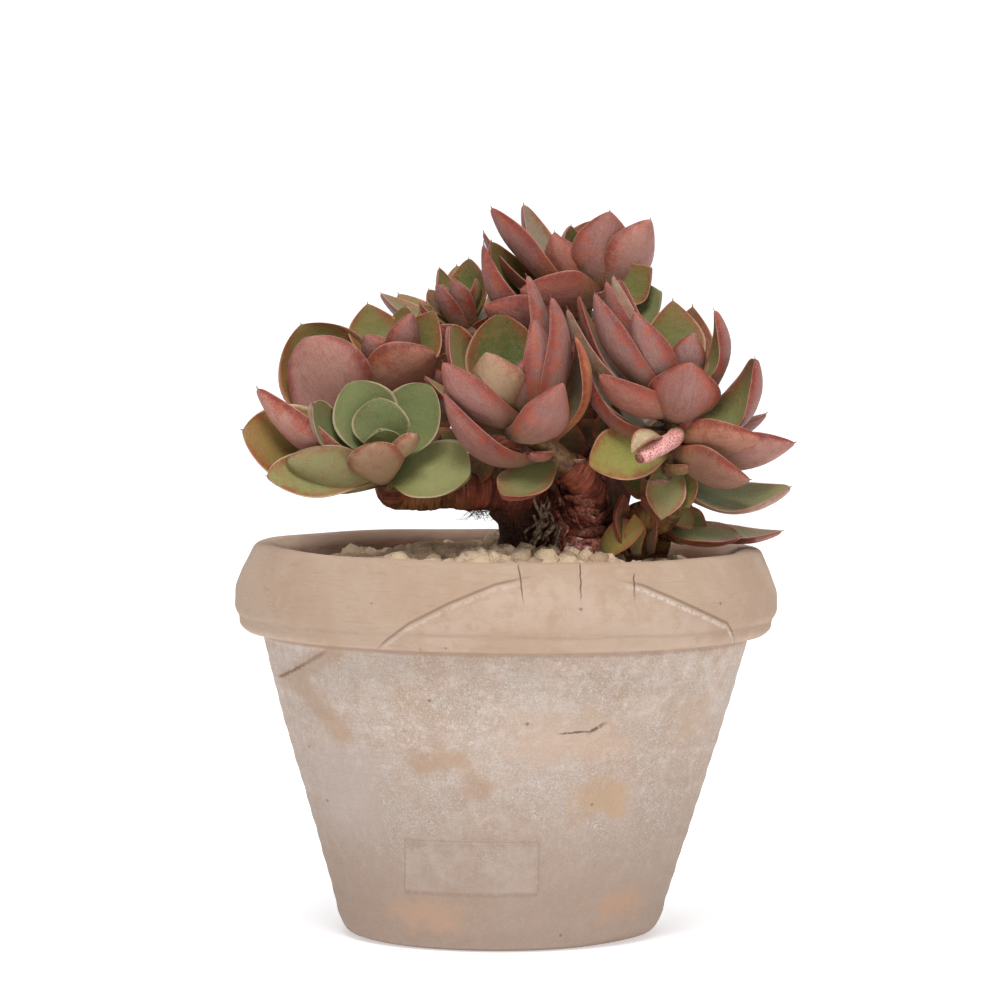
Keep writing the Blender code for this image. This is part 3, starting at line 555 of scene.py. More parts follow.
bed_radii = np.linspace(0, GRAVEL_RADIUS, 24)[1:, None]
bed_x, bed_y = bed_radii * np.cos(turns(BED_AROUND)), bed_radii * np.sin(turns(BED_AROUND))
bed_z = gravel_level(bed_x, bed_y) - BED_BELOW + draw.uniform(-0.5, 0.5, bed_x.shape)
bed_floor = SOIL_TOP + 0.3
bed_top = np.stack([bed_x, bed_y, bed_z], axis=-1)
bed_foot = bed_top[-1:] * (1, 1, 0) + (0, 0, bed_floor)
bed_surface = closed_surface(np.vstack([bed_top, bed_foot]),
                             [[0, 0, GRAVEL_CROWN - 4], [0, 0, bed_floor]], turned=True)
bed = add_piece("pumice_dust", (lean(bed_surface[0]), *bed_surface[1:]), pumice,
                own=np.full(len(bed_surface[0]), 0.9))
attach(bed, "root")

# ---------------------------------------------------------------------------------------------
# The leaves: thick, waxy and spoon-shaped, with a short hard point. Where the wax is rubbed off,
# the red skin shows. They stand where the solid rosettes' leaves do.
LEAF_THICKNESS, LEAF_CUP, LEAF_AROUND = 4.3, 0.26, 22
BELLY, SPINE_END = 0.58, 1.022
# how pointed leaves are, from and to: the usual ones, then wide and green ones
SHARP, BLUNT, WIDE_LEAF = (0.5, 0.95), (0.05, 0.3), 28
BUD_LEAVES = 5
CORE_RADIUS, CORE_TAIL = 5.0, 3.0
# the places of a leaf's rings from foot (0) to spine, closer together where it narrows
LEAF_ALONG = np.concatenate([np.linspace(0, BELLY, 12),
                             BELLY + 0.42 * np.sin(np.linspace(0, math.pi / 2, 13))[1:],
                             [1.008, 1.015, SPINE_END]])
TONES = {
    "rose": (146, 92, 84), "mauve": (138, 100, 96), "blush": (184, 128, 112),
    "brick": (160, 84, 64), "wine": (108, 52, 48), "buff": (174, 144, 106),
    "pale": (164, 148, 124), "sage": (128, 136, 88), "salmon": (190, 126, 94),
    "dusk": (156, 114, 88),
    "olive": (126, 124, 62), "moss": (94, 110, 46), "amber": (156, 100, 56),
    "jade": (120, 132, 80), "umber": (104, 76, 50), "lime": (152, 150, 72),
    "ochre": (150, 128, 58), "fern": (144, 146, 90), "cream": (206, 184, 150),
    "orange": (212, 156, 130), "rust": (204, 122, 54),
}
# how far the red skin shows through the wax of the leaves of these outer tones; 1 for the others
RUDDY = {"sage": 0.1, "pale": 0.35, "buff": 0.6, "fern": 0.35}
# Each rosette: its heart, the foot of its leafy stem, the way it faces, and its leaves. A leaf
# is the tip's place from the heart (right, back, up), its seat from the heart (0) to the foot (1)
# or the seat's place, its width, how far it bows outwards as a share of its length, how far its
# upper face turns to the back or where that face looks, and its outer and inner tones. "more" is
# how many leaves fill its far side by rule, "bud" how many of the small bud leaves have grown
# out, if any, "collar" how many short leaves stand round its stem, and "margin" the tone of its
# leaves' edges, if not orange.
ROSETTES = {
    "rosette_green": {
        "heart": (-41.5, -34.0, 178.5), "foot": (-39.5, -22.0, 169.5), "faces": (-0.1, -0.75, 0.65),
        "more": 0, "bud": 5, "collar": 0, "margin": "cream", "leaves": [
            ((-3, -1, 20.5), 0.1, 21, 0.08, 0, "sage jade"),
            ((-2, -5, 9), 0.0, 14, 0.1, (0, -1, 0.3), "sage jade"),
            ((-13, 3, 26), 0.3, 25, 0.08, 0, "sage jade"),
            ((16, 3, 25), 0.3, 25, 0.08, 0, "sage jade"),
            ((30.5, -7, -7), 0.6, 29, 0.05, 0, "sage fern"),
            ((-4.5, -15, 5), (-1, 6, -9.5), 21, 0.1, 1.5, "buff jade"),
            ((10.5, -11, 8.5), 0.2, 12, 0.1, 1, "buff jade"),
            ((-25.8, -12, 18.8), 0.75, 18, 0.18, (0.7, -0.7, 0.3), "pale jade"),
            ((-46, 0, 23.7), 0.7, 18, 0.14, 1, "blush olive"),
            ((-51.6, 2, 8.7), 0.8, 34, 0.08, (0.1, -1, 0.6), "brick ochre"),
            ((-42, -13, -7), 0.6, 19, 0.06, (0.1, -1, 0.5), "blush fern"),
            ((-44.5, 4, -15.5), 0.95, 20, 0.1, 1.8, "fern pale"),
        ]},
    "rosette_centre": {
        "heart": (3.0, -34.0, 194.0), "foot": (22.5, -24.0, 176.0), "faces": (-0.1, 0.0, 1.0),
        "more": 4, "collar": 4, "leaves": [
            ((-7.8, -9, 21.8), 0.0, 22, 0.2, 0.3, "buff moss"),
            ((7, -4, 20), 0.05, 16, 0.15, 0.3, "rose olive"),
            ((-4, 10, 34.8), 0.15, 30, 0.12, 0, "brick moss"),
            ((-21, 1, 31), 0.3, 29, 0.15, (1, -0.5, 0.4), "brick olive"),
            ((-23.5, -9, 18), 0.3, 17, 0.2, 0.9, "rose olive"),
            ((19.5, -15, 11), (1, -3, -8), 20, 0.35, 1, "rose olive"),
            ((6.7, 8, 48.8), 0.5, 17, 0.1, (-1, 0.3, 0.2), "mauve pale"),
            ((8.5, 2, 34.8), 0.3, 21, 0.2, (-1, 0.7, 0.2), "rose olive"),
            ((15.5, 2, 41), 0.4, 20, 0.16, (-1, 0.4, 0.2), "rose olive"),
            ((24, -3, 27), 0.65, 22, 0.2, (-1, -0.3, 0.2), "rust umber"),
            ((-24.5, -12, 4.8), 0.8, 18, 0.27, 0.15, "rose jade"),
            ((-2, -14, -29.5), 0.85, 20, 0.12, (-0.2, -0.8, 0.7), "brick fern"),
        ]},
    "rosette_right": {
        "heart": (65.5, -22.0, 200.6), "foot": (61.5, -16.5, 165.0), "faces": (0.05, 0.0, 1.0),
        "more": 5, "collar": 9, "leaves": [
            ((-2.2, 14, 33), 0.05, 24, 0.12, 0, "brick olive"),
            ((5.2, 18, 30.7), 0.15, 20, 0.1, 0, "wine umber"),
            ((12.5, 1, 29.5), 0.1, 20, 0.24, (-1, -0.1, 0.3), "rose olive"),
            ((5, -4, 22), 0.0, 14, 0.1, 0.5, "mauve olive"),
            ((-2, -3, 17), 0.0, 12, 0.1, 0.5, "mauve moss"),
            ((-16.6, -6, 29.6), 0.1, 18, 0.12, 0.5, "mauve olive"),
            ((3.5, -16, 11.5), 0.3, 27, 0.2, 1.2, "rose olive"),
            ((-31, -5, 36), 0.2, 16, 0.12, 0.4, "mauve amber"),
            ((-36.6, -1, 35), 0.25, 16, 0.14, -0.2, "mauve amber"),
            ((-40.7, 3, 30), 0.3, 14, 0.14, 0.2, "pale umber"),
            ((-26.6, 4, 40), 0.2, 14, 0.1, 0.4, "mauve pale"),
            ((-24, 8, 42), 0.15, 16, 0.1, 0.4, "pale pale"),
            ((-21.8, 11, 40.7), 0.12, 18, 0.1, 0.4, "mauve pale"),
            ((-34.4, -6, 10), 0.4, 18, 0.24, -0.1, "rose moss"),
            ((-29.5, -15, 7), 0.2, 17, 0.15, 0.75, "brick olive"),
            ((-33, -12, -26), 0.45, 22, 0.1, (0.2, -1, 0.4), "salmon lime"),
            ((27, -6, 12), 0.25, 29, 0.38, (-0.5, -0.4, 0.8), "rose olive"),
            ((31.8, 8, -8), 0.4, 18, 0.12, 0, "rose olive"),
            ((28.5, -14, -15.5), 0.4, 20, 0.12, 1, "salmon olive"),
            ((41.5, -4, -18.2), 0.62, 22, 0.1, 0.8, "blush olive"),
            ((25, -14, -31), 0.6, 24, 0.1, 0.8, "dusk olive"),
            ((39.8, -4, -34.4), 0.9, 20, 0.18, -0.5, "pale sage"),
            ((-7, -8, -46), 0.65, 15, 0.05, (0, -1, 0.2), "salmon fern"),
            ((3, -2, -42), 0.7, 14, 0.05, (-0.3, -1, 0.2), "moss moss"),
            ((-20.8, 14, -37.3), 0.85, 16, 0.08, (-0.2, -1, 0.3), "wine moss"),
        ]},
    "rosette_low": {
        "heart": (64.0, 2.0, 158.0), "foot": (60.5, 2.0, 149.0), "faces": (0.5, 0.0, 0.85),
        "more": 4, "collar": 5, "leaves": [
            ((24, -16, -10.5), (-4, -12, -7), 18, 0.08, -0.5, "brick fern"),
            ((39.8, 0, -9.6), 0.2, 16, 0.14, (-0.3, -0.2, 1), "mauve olive"),
            ((-9, -4, 10), 0.2, 13, 0.1, 0, "mauve olive"),
        ]},
    "rosette_left": {
        "heart": (-40.6, 5.0, 206.8), "foot": (-37.6, 4.0, 182.0), "faces": (-0.15, 0.0, 1.0),
        "more": 5, "collar": 6, "leaves": [
            ((-31, -13, 13), (-10, -6, -24), 33, 0.14, 2, "blush olive"),
            ((-32.5, -3, 17.5), (-13, -2, -22), 37, 0.1, -1.2, "brick olive"),
            ((-8.5, 10, 25), 0.05, 23, 0.1, 0, "brick olive"),
            ((-9, -2, 14), 0.0, 15, 0.1, 0.5, "rose olive"),
            ((5.5, 9, 24), 0.15, 20, 0.1, 0, "mauve olive"),
            ((8, -4, 22), 0.1, 14, 0.1, 0.6, "rose olive"),
            ((16.5, 2, 22.5), 0.2, 22, 0.12, -0.8, "rose olive"),
            ((16.5, -12, 8), (-11, -2, -7), 26, 0.08, 1.6, "salmon olive"),
            ((20.7, 0, 0), 0.5, 18, 0.1, 1, "rose olive"),
        ]},
    "rosette_top": {
        "heart": (28.9, 12.0, 238.7), "foot": (29.5, 8.0, 222.0), "faces": (0.05, 0.1, 1.0),
        "more": 5, "collar": 6, "leaves": [
            ((11.5, -8, 27.4), (5, -2, -4), 24, 0.12, 0.3, "rose olive"),
            ((26.3, -9, 24.4), (8, -2, -4), 21, 0.14, 0.6, "blush olive"),
            ((26.5, -17, 6.8), (9, -9, -7), 17, 0.1, (0, -1, 0.5), "olive olive"),
            ((30, -15, -2), (13, -9, -13), 20, 0.1, (0, -1, 0.6), "sage sage"),
            ((8.5, 16, 24), 0.4, 29, 0.1, 0, "wine umber"),
            ((-2.6, 4, 22), 0.1, 18, 0.08, 0, "brick moss"),
            ((-9, -4, 19), 0.2, 18, 0.1, 0.3, "brick olive"),
            ((-20, 6, 29.6), 0.4, 19, 0.08, (0.8, -0.5, 0.3), "mauve pale"),
            ((-31.8, -3, 28.5), 0.4, 19, 0.05, (1, 0.4, 0.3), "rose olive"),
            ((-34.8, 5, 19.5), 0.6, 14, 0.12, 0, "mauve olive"),
            ((-34.8, -4, 15.2), 0.9, 18, 0.3, 0.3, "wine umber"),
            ((-32, -8, 16), 0.8, 20, 0.28, (0.6, -0.8, 0.2), "brick moss"),
            ((-21.5, -18, -1), (8, -3, -4), 25, 0.12, 1.2, "brick olive"),
            ((-34.8, -16, -7.4), 0.9, 22, 0.12, 1.2, "wine olive"),
        ]},
    "rosette_upper_left": {
        "heart": (-14.2, 34.0, 226.0), "foot": (-8.2, 30.0, 216.0), "faces": (-0.2, 0.0, 0.98),
        "more": 5, "collar": 4, "leaves": [
            ((2.5, 6, 22), 0.3, 19, 0.08, 0, "olive moss"),
            ((-3.7, -7, 15.3), (5, -3, -4), 13, 0.05, (0.53, 0.45, 0.71), "mauve olive"),
            ((-9.3, -4, 13), (3, -3, -6), 12, 0.08, (0.53, 0.45, 0.71), "mauve olive"),
            ((-15.5, -8, 5.5), 0.7, 15, 0.1, -0.3, "brick olive"),
            ((-12.5, 8, 10.4), 0.4, 15, 0.1, 0, "wine umber"),
            ((-13, -12, -3), 0.9, 14, 0.1, 0.6, "brick olive"),
            ((5, -2, 15), 0.1, 10, 0.1, 0, "moss moss"),
        ]},
    "rosette_back_right": {
        "heart": (52.0, 44.0, 202.0), "foot": (46.0, 36.0, 186.0), "faces": (0.35, 0.5, 0.8),
        "more": 13, "collar": 8, "leaves": []},
    "rosette_back_left": {
        "heart": (-38.0, 44.0, 188.0), "foot": (-31.0, 35.0, 174.0), "faces": (-0.45, 0.55, 0.75),
        "more": 13, "collar": 8, "leaves": []},
    "rosette_back_middle": {
        "heart": (8.0, 58.0, 186.0), "foot": (9.0, 46.0, 174.0), "faces": (0.0, 0.75, 0.65),
        "more": 13, "collar": 8, "leaves": []},
}


def sideways(way):
    """The ways to the right and to the back of a way that points more or less upwards."""
    right = unit(np.cross((0.0, 1.0, 0.0), way))
    return right, np.cross(way, right)


def opened(faces, spread, turn):
    """The way that opens from the one faced by an angle, at a turn round it."""
    right, back = sideways(faces)
    outward = math.cos(turn) * right + math.sin(turn) * back
    return math.cos(spread) * faces + math.sin(spread) * outward


def stance(rosette):
    """Its heart, the foot of its leafy stem and the way it faces."""
    heart, foot, faces = (np.array(rosette[key]) for key in ("heart", "foot", "faces"))
    return heart, foot, unit(faces)


def leaf_of(root, tip, width, bow, face, tones, **more):
    return {"root": np.array(root, float), "tip": np.array(tip, float), "width": width, "bow": bow,
            "face": np.array(face, float), "tones": tones, "sharp": SHARP, **more}


def posed_leaf(rosette, tip, seat, width, bow, look, tones):
    heart, foot, faces = stance(rosette)
    root = heart + (seat if isinstance(seat, tuple) else seat * (foot - heart))
    face = look if isinstance(look, tuple) else faces + (0, look, 0)
    return leaf_of(root, heart + tip, width, bow, face, tones)


def far_side_leaves(rosette, taken, draw):
    """Leaves by the golden angle, from the bud outwards, wherever a way from the heart is free,
    as in the solid.
    """
    heart, _, faces = stance(rosette)
    ways = [unit(leaf["tip"] - heart) for leaf in taken]
    candidates = 70 if taken else 2 * rosette["more"]
    apart = math.cos(math.radians(24.0))
    found = []
    for i in range(candidates):
        if len(found) == rosette["more"]:
            break
        share = i / candidates
        way = opened(faces, math.radians(12 + 100 * share ** 0.8),
                     i * GOLDEN_ANGLE + draw.uniform(-0.15, 0.15))
        if taken and (way[1] < 0.1 or max(np.dot(way, w) for w in ways) > apart):
            continue
        length = (22 + 18 * min(1.0, 1.4 * share)) * draw.uniform(0.92, 1.08)
        width = 12 + 11 * min(1.0, 1.5 * share)
        tones = ("mauve olive", "blush olive", "rose moss", "brick olive", "rose olive")[i % 5]
        found.append(posed_leaf(rosette, way * length, 0.05 + 0.8 * share, width, 0.12, 0, tones))
        ways.append(way)
    return found


def bent_to_node(leaf, rosette, tips, tries, step):
    """Bends a leaf up to its rosette's middle, as the solid was bent to clear its neighbours,
    until its tip meets a corner of the solid. Nothing comes back if it never does.
    """
    faces = stance(rosette)[2]
    best, nearest = None, math.inf
    for _ in range(tries):
        away = tips.find(Vector(leaf["tip"]) * MM)[2]
        if away < nearest:
            best, nearest = leaf, away
        reach = leaf["tip"] - leaf["root"]
        length = np.linalg.norm(reach)
        raised = unit(unit(reach) + step * faces) * length * 0.985
        leaf = {**leaf, "tip": leaf["root"] + raised}
    return best if nearest < 0.05 * MM else None


def half_width(s, sharp):
    """A spoon's outline: 0.4 at the foot and 1 at the belly, then an end that is round
    (sharp = 0) or comes to a point (sharp = 1).
    """
    rise = 0.4 + 0.6 * np.sin(np.clip(s / BELLY, 0, 1) * math.pi / 2) ** 1.4
    u = np.clip((s - BELLY) / (1 - BELLY), 0, 1)
    return rise * ((1 - sharp) * np.sqrt(1 - u ** 2.3) + sharp * np.cos(u * math.pi / 2) ** 0.95)


def leaf_surface(leaf, draw):
    """A leaf's closed surface. Its middle line is an arc from root to tip that bows away from
    the upper face and sways a little. A cut across it is a fleshy lens, flat above and keeled
    below, whose thin edges curl up; its width and thickness follow the outline. Near the tip the
    width falls to a short spine's. The edges and the faces wave a little.
    """
    root, tip = leaf["root"], leaf["tip"]
    length = np.linalg.norm(tip - root)
    along = unit(tip - root)
    upper = unit(leaf["face"] - along * np.dot(leaf["face"], along))
    side = np.cross(along, upper)
    s = LEAF_ALONG[:, None]
    phase, sharp = draw.uniform(0, 6.28, 4), draw.uniform(*leaf["sharp"])
    bow, sway = leaf["bow"] * length, 0.018 * length * math.sin(phase[3])
    middle = root + s * along * length - 4 * bow * s * (1 - s) * upper \
        + sway * np.sin(2 * math.pi * s) * side
    lift = np.cross(side, unit(along * length - 4 * bow * (1 - 2 * s) * upper))
    belly = half_width(s, sharp)
    spine = 0.9 * (np.clip(1.026 - s, 0, 1) * length / 4.0) ** 1.5 * (s > 0.9) + 0.12
    half = np.maximum(leaf["width"] / 2 * belly * (1 + 0.02 * np.sin(9 * s + phase[0])), spine)
    plump = min(1.0, 0.45 + leaf["width"] / 36)
    deep = LEAF_THICKNESS * plump * (1 - 0.3 * s ** 2) * np.minimum(1, 0.16 + 0.92 * belly ** 0.6)
    deep = np.minimum(deep, 1.5 * half)
    edge, face = np.cos(turns(LEAF_AROUND)), np.sin(turns(LEAF_AROUND))
    across = half * np.sign(edge) * np.abs(edge) ** 0.9
    cup = LEAF_CUP * half * edge ** 2 * (1 + 0.2 * np.sin(7 * s + phase[1]) * np.sign(edge)) \
        + 0.35 * np.sin(5 * s + 2.2 * edge + phase[2]) * bump_step(s, 0.1, 0.4) * (half / 10)
    thick = np.sign(face) * (0.3 * np.abs(face) + 0.7 * (1 - np.abs(edge) ** 2.2))
    keel = np.where(face > 0, 0.24 * thick, 0.76 * thick - 0.16 * np.exp(-(edge / 0.22) ** 2) * s)
    height = cup + deep * keel
    ring = middle[:, None] + across[..., None] * side + height[..., None] * lift[:, None]
    values = np.stack([np.broadcast_to(part, across.shape) for part in
                       (edge, s, face, across, s * length, phase[2] * 40)], axis=-1)
    end_values = [[0, 0, 0, *values[0, 0, 3:]], [0, SPINE_END, 0, *values[-1, -1, 3:]]]
    return closed_surface(ring, [root, middle[-1] + 0.15 * along], values, end_values, turned=True)


def small_leaves(rosette, draw):
    """The bud's small leaves, close to the way it faces, and short ones round the leafy stem
    below, by the golden angle.
    """
    heart, foot, faces = stance(rosette)
    found = []
    for i in range(rosette.get("bud", 0), BUD_LEAVES + rosette["collar"]):
        turn = i * GOLDEN_ANGLE + draw.uniform(-0.2, 0.2)
        if i < BUD_LEAVES:
            spread, length, width, seat = 0.10 + 0.06 * i, 9 + 1.5 * i, 7 + 0.9 * i, 0.0
            tones = ("moss moss", "olive moss", "rose olive")[i % 3]
        else:
            share = (i - BUD_LEAVES) / max(1, rosette["collar"] - 1)
            spread, length = 1.25 + 0.5 * share, draw.uniform(10, 15)
            width, seat = draw.uniform(10, 13), 0.35 + 0.6 * share
            tones = ("pale fern", "rose olive", "olive fern", "blush pale")[i % 4]
        root = heart + seat * (foot - heart)
        found.append(leaf_of(root, root + opened(faces, spread, turn) * length, width, 0.14, faces,
                             tones))
    return found


def leaf_finish():
    """Wax over a red or green skin. The wax is a dusty veil, thickest in the middle of the outer
    face and rubbed off in patches along the edges, which are the reddest. The inner face is
    green, and both faces yellow towards the foot.
    """
    skin = Finish("waxy_leaf", Specular_IOR_Level=0.4, Sheen_Weight=0.06, Sheen_Roughness=0.5)
    edge, s, face = skin.attribute("shape").axes()
    edge = abs(edge)
    spot = skin.attribute("spot")
    own, ruddy = skin.attribute("own", "Fac"), skin.attribute("ruddy", "Fac")
    outer, inner, margin = (skin.attribute(key, "Color") for key in ("outer", "inner", "margin"))
    streaks = spot.vector("MULTIPLY", (1.1, 0.22, 1.0)).noise(1.0, 4.0, 0.7, 0.6)
    patches = spot.noise(0.13, 5.0, 0.66, 0.5)
    blotches = spot.noise(0.32, 4.0, 0.65)
    specks = spot.noise(2.1, 3.0, 0.75)
    rub = patches + (blotches - 0.5) * 0.35 + edge * edge * 0.15 + s * 0.08 + own * 0.10
    rub = rub.step(0.60, 0.78) * ruddy * (0.25 + edge.step(0.15, 0.8) * 0.75)
    flush = (edge.step(0.45, 0.95) * 0.75 + s.step(0.6, 1.0) * 0.4) \
        * (blotches * 0.65 + specks * 0.35).step(0.34, 0.56)
    flush = flush.math("MINIMUM", flush, 1.0) * ruddy
    veil = (1.0 - edge.step(0.35, 1.0)) \
        * (0.5 + (patches * 0.6 + blotches * 0.4).step(0.36, 0.6) * 0.5) \
        * (1.0 - s.step(0.75, 1.0) * 0.5)
    dark_line = face.near(-0.36, 0.1, 0.36) * s.step(0.25, 0.6)
    pale_line = face.near(0.14, 0.1, 0.32) * s.step(0.2, 0.5)
    back = coated(outer, (flush, 0.9, (152, 58, 40)),
                  (streaks.step(0.45, 0.7) * 0.35, ruddy, (128, 66, 58)),
                  (veil * (0.35 + streaks.step(0.56, 0.36) * 0.4), ruddy, (166, 126, 114)),
                  (1.0 - s.step(0.08, 0.55), 0.6, (140, 114, 68)),
                  (blotches.step(0.5, 0.72), 0.35, (132, 84, 66)),
                  (rub, 0.2 + (specks * 0.5 + blotches * 0.5).step(0.42, 0.54) * 0.65,
                   (172, 76, 48)),
                  (rub * specks.step(0.56, 0.64), 0.6, (214, 146, 104)))
    front = coated(inner, (blotches.step(0.35, 0.65), 0.35, (140, 136, 84)),
                   (flush, 0.9, (160, 70, 42)), (1.0 - s.step(0.05, 0.55), 0.6, (98, 110, 52)),
                   (rub, 0.4, (160, 104, 60)))
    look = coated(face.step(-0.05, 0.2).tint(back, front),
                  (dark_line, 0.1 + ruddy * 0.2 + flush * 0.4, (112, 40, 36)),
                  # painted shade: every leaf darkens at its foot, deep in the rosette where the
                  # leaves crowd
                  (1.0 - s.step(0.0, 0.3), 0.75, (60, 38, 24)))
    look = (pale_line * blotches.step(0.2, 0.4) * 0.85).tint(look, margin)
    look = coated(look, (specks.step(0.56, 0.66), 0.2 + ruddy * 0.25 + rub * 0.2, (98, 44, 38)),
                  (specks.step(0.42, 0.32), 0.3, (204, 170, 150)),
                  (s.step(0.992, 1.006), 0.8, (88, 44, 42)))
    skin.wear(look, 0.43 - rub * 0.12 + veil * 0.16, streaks * 0.8 + blotches * 1.6 + specks * 0.5,
              0.0006, 0.55)
    return skin


# Single leaves and the stumps of old ones, which stand on the stems themselves, and the curled
# flap beside the cut stalk: root, tip, width, bow, the way the upper face looks, and tones.
STEM_LEAVES = [
    ((36, -14, 141), (53, -20, 151), 13, -0.1, (-0.3, -1, 0.6), "amber ochre"),
    ((47, -19, 141), (45.5, -20, 163), 10, 0.12, (1, -0.7, 0), "wine wine"),
    ((55, -19, 142), (52, -20, 163), 9, 0.1, (-1, -0.8, 0), "blush rose"),
    ((50, -20, 141), (49, -21, 156), 8, 0.1, (0.2, -1, 0.1), "lime ochre"),
    ((56, -19, 150), (57, -19, 176), 11, 0.05, (-0.2, -1, 0.1), "ochre moss"),
    ((62, -10, 160), (76, -8, 147), 12, 0.12, (0.2, -1, 0.5), "moss moss"),
    ((60, -14, 166), (70, -14, 150), 11, 0.1, (0.4, -1, 0.2), "moss fern"),
    ((58.5, -34, 184.5), (47.5, -42, 179.5), 8, -0.3, (0.2, -0.4, 1), "cream cream"),
    # the dark leaves from here on fill gaps among the stems and rosettes; their dark wine tones are
    # partly the leaves' own and partly painted shade
    ((43, -8, 152), (41, -8, 179), 13, 0.05, (0, -1, 0.1), "wine wine"),
    ((19, -4, 156), (20, -5, 179), 10, 0.05, (0, -1, 0.1), "wine umber"),
    ((30, -1, 182), (27, -3, 198), 13, 0.05, (0, -1, 0.1), "wine umber"),
    ((22, -9, 170), (12, -14, 181), 12, 0.1, (-0.4, -1, 0.2), "wine umber"),
    ((26, -8, 176), (38, -12, 190), 13, 0.1, (0.3, -1, 0.2), "wine umber"),
    ((-33, 0, 182), (-18, -8, 196), 14, 0.12, (0.4, -1, 0.3), "wine umber"),
    ((-28, 4, 192), (-19, 0, 214), 14, 0.1, (0.3, -1, 0.2), "wine umber"),
    ((-36, 0, 180), (-22, -12, 184), 12, 0.1, (0.2, -1, 0.5), "wine olive"),
    ((-8, -8, 164), (7, -15, 179), 13, 0.1, (-0.2, -1, 0.3), "wine umber"),
    ((-16, -8, 164), (-2, -18, 181), 12, 0.1, (-0.2, -1, 0.3), "wine umber"),
    ((-30, 10, 192), (-21, 10, 219), 16, 0.05, (0.2, -1, 0.1), "wine umber"),
    ((-34, -8, 184), (-13, -14, 178), 15, 0.05, (0.2, -1, 0.4), "wine olive"),
    ((24, -8, 170), (26, -17, 190), 13, 0.05, (0, -1, 0.1), "wine umber"),
    ((38, -10, 174), (42, -15, 196), 13, 0.05, (0, -1, 0.1), "wine umber"),
]
waxy = leaf_finish()
for number, (name, rosette) in enumerate(ROSETTES.items()):
    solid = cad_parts[name].data
    tips = KDTree(len(solid.vertices))
    for k, vertex in enumerate(solid.vertices):
        tips.insert(vertex.co, k)
    tips.balance()
    leaves = []
    for pose in rosette["leaves"]:
        leaf = posed_leaf(rosette, *pose)
        leaf = bent_to_node(leaf, rosette, tips, 14, 0.07) or leaf
        if leaf["width"] > WIDE_LEAF or name == "rosette_green":
            leaf["sharp"] = BLUNT
        leaves.append(leaf)
    for leaf in far_side_leaves(rosette, leaves[:], random.Random(100 + number)):
        leaf = bent_to_node(leaf, rosette, tips, 10, 0.12)
        if leaf:
            leaves.append(leaf)
    draw = np.random.default_rng(300 + number)
    leaves += small_leaves(rosette, draw)
    if name == "rosette_low":
        leaves += [leaf_of(*values, margin="brick") for values in STEM_LEAVES]
    surface = joined([leaf_surface(leaf, draw) for leaf in leaves])
    tint = {"outer": [], "inner": [], "margin": [], "own": [], "ruddy": []}
    for leaf in leaves:
        outer, inner = leaf["tones"].split()
        margin = leaf.get("margin", rosette.get("margin", "orange"))
        for key, tone in (("outer", outer), ("inner", inner), ("margin", margin)):
            shade = np.array(colour(*TONES[tone])[:3]) * draw.uniform(0.86, 1.08)
            tint[key].append([*shade, 1.0])
        tint["own"].append(draw.uniform(0, 1))
        tint["ruddy"].append(RUDDY.get(outer, 1.0))
    count = len(surface[0]) // len(leaves)
    stored = {key: np.repeat(values, count, axis=0) for key, values in tint.items()}
    piece = add_piece(name.replace("rosette", "leaves"), surface, waxy, **stored,
                      shape=surface[3][:, :3], spot=surface[3][:, 3:])
    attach(piece, "root")
    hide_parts(name)
    "green_leaf" if name == "rosette_green" else "rose_leaf"

# ---------------------------------------------------------------------------------------------
# The stems: bare wood with the scars of old leaves, under a flaking red-brown skin. The trunks
# stand in the gravel, and each branch ends in a leafy end that carries a rosette.
TRUNK_FOOT, BARK_AROUND = 124.0, 28
# the middle, the thick and the right trunk: x, y, radius, top, and how far its knot stands out
TRUNKS = [(10.0, 1.0, 11.5, 157.0, 3.4), (30.0, -4.0, 11.5, 147.0, 0.0),
          (47.0, -2.0, 6.5, 146.0, 0.0)]
# each branch's points and the radius at its two ends
BRANCHES = {
    "rosette_top": ([(30, -4, 142), (30, -4, 156), (32, 2, 178), (31, 7, 202)], 11.0, 5.5),
    "rosette_centre": ([(31, -4, 150), (32, -10, 160)], 8.0, 5.5),
    "rosette_right": ([(47, -2, 142), (46, -7, 148), (51, -13, 154)], 6.2, 5.5),
    "rosette_low": ([(47, -2, 142), (53, 0, 144)], 4.2, 4.5),
    "rosette_green": ([(31, -4, 145), (18, -1, 156), (2, -3, 162.5), (-18, -9, 164),
                       (-31, -12, 163.5)], 9.0, 6.0),
    "rosette_left": ([(-20, -9, 162), (-31, -3, 170)], 5.5, 5.0),
    "rosette_upper_left": ([(11, 1, 142), (8, 12, 165), (0, 25, 194)], 6.5, 5.0),
    "rosette_back_right": ([(32, 1, 172), (38, 18, 176)], 6.0, 5.0),
    "rosette_back_left": ([(-10, -6, 163), (-20, 12, 164)], 5.5, 5.0),
    "rosette_back_middle": ([(9, 9, 160), (8, 28, 166)], 5.5, 5.0),
}


def tube_surface(route, radii, around, shape=None):
    """A closed tube along a route. Each ring's frame is the last one's, turned no more than the
    route turns; shape, if given, is added to the radius as a function of turn and way along.
    """
    heading = unit(np.gradient(route, axis=0))
    sides = [unit(np.cross(heading[0], (0.0, 1.0, 0.13)))]
    for way in heading[1:]:
        sides.append(unit(sides[-1] - way * np.dot(sides[-1], way)))
    sides = np.array(sides)[:, None]
    others = np.cross(heading, sides[:, 0])[:, None]
    gone = np.append(0, np.cumsum(np.linalg.norm(np.diff(route, axis=0), axis=1)))[:, None]
    turn = turns(around)[None]
    width = radii[:, None] + (shape(turn, gone) if shape else 0 * turn)
    out = np.cos(turn)[..., None] * sides + np.sin(turn)[..., None] * others
    ring = route[:, None] + width[..., None] * out
    bark = np.stack([turn * radii.mean() + 0 * width, gone + 0 * width, width - radii[:, None]],
                    axis=-1)
    return closed_surface(ring, route[[0, -1]], bark)


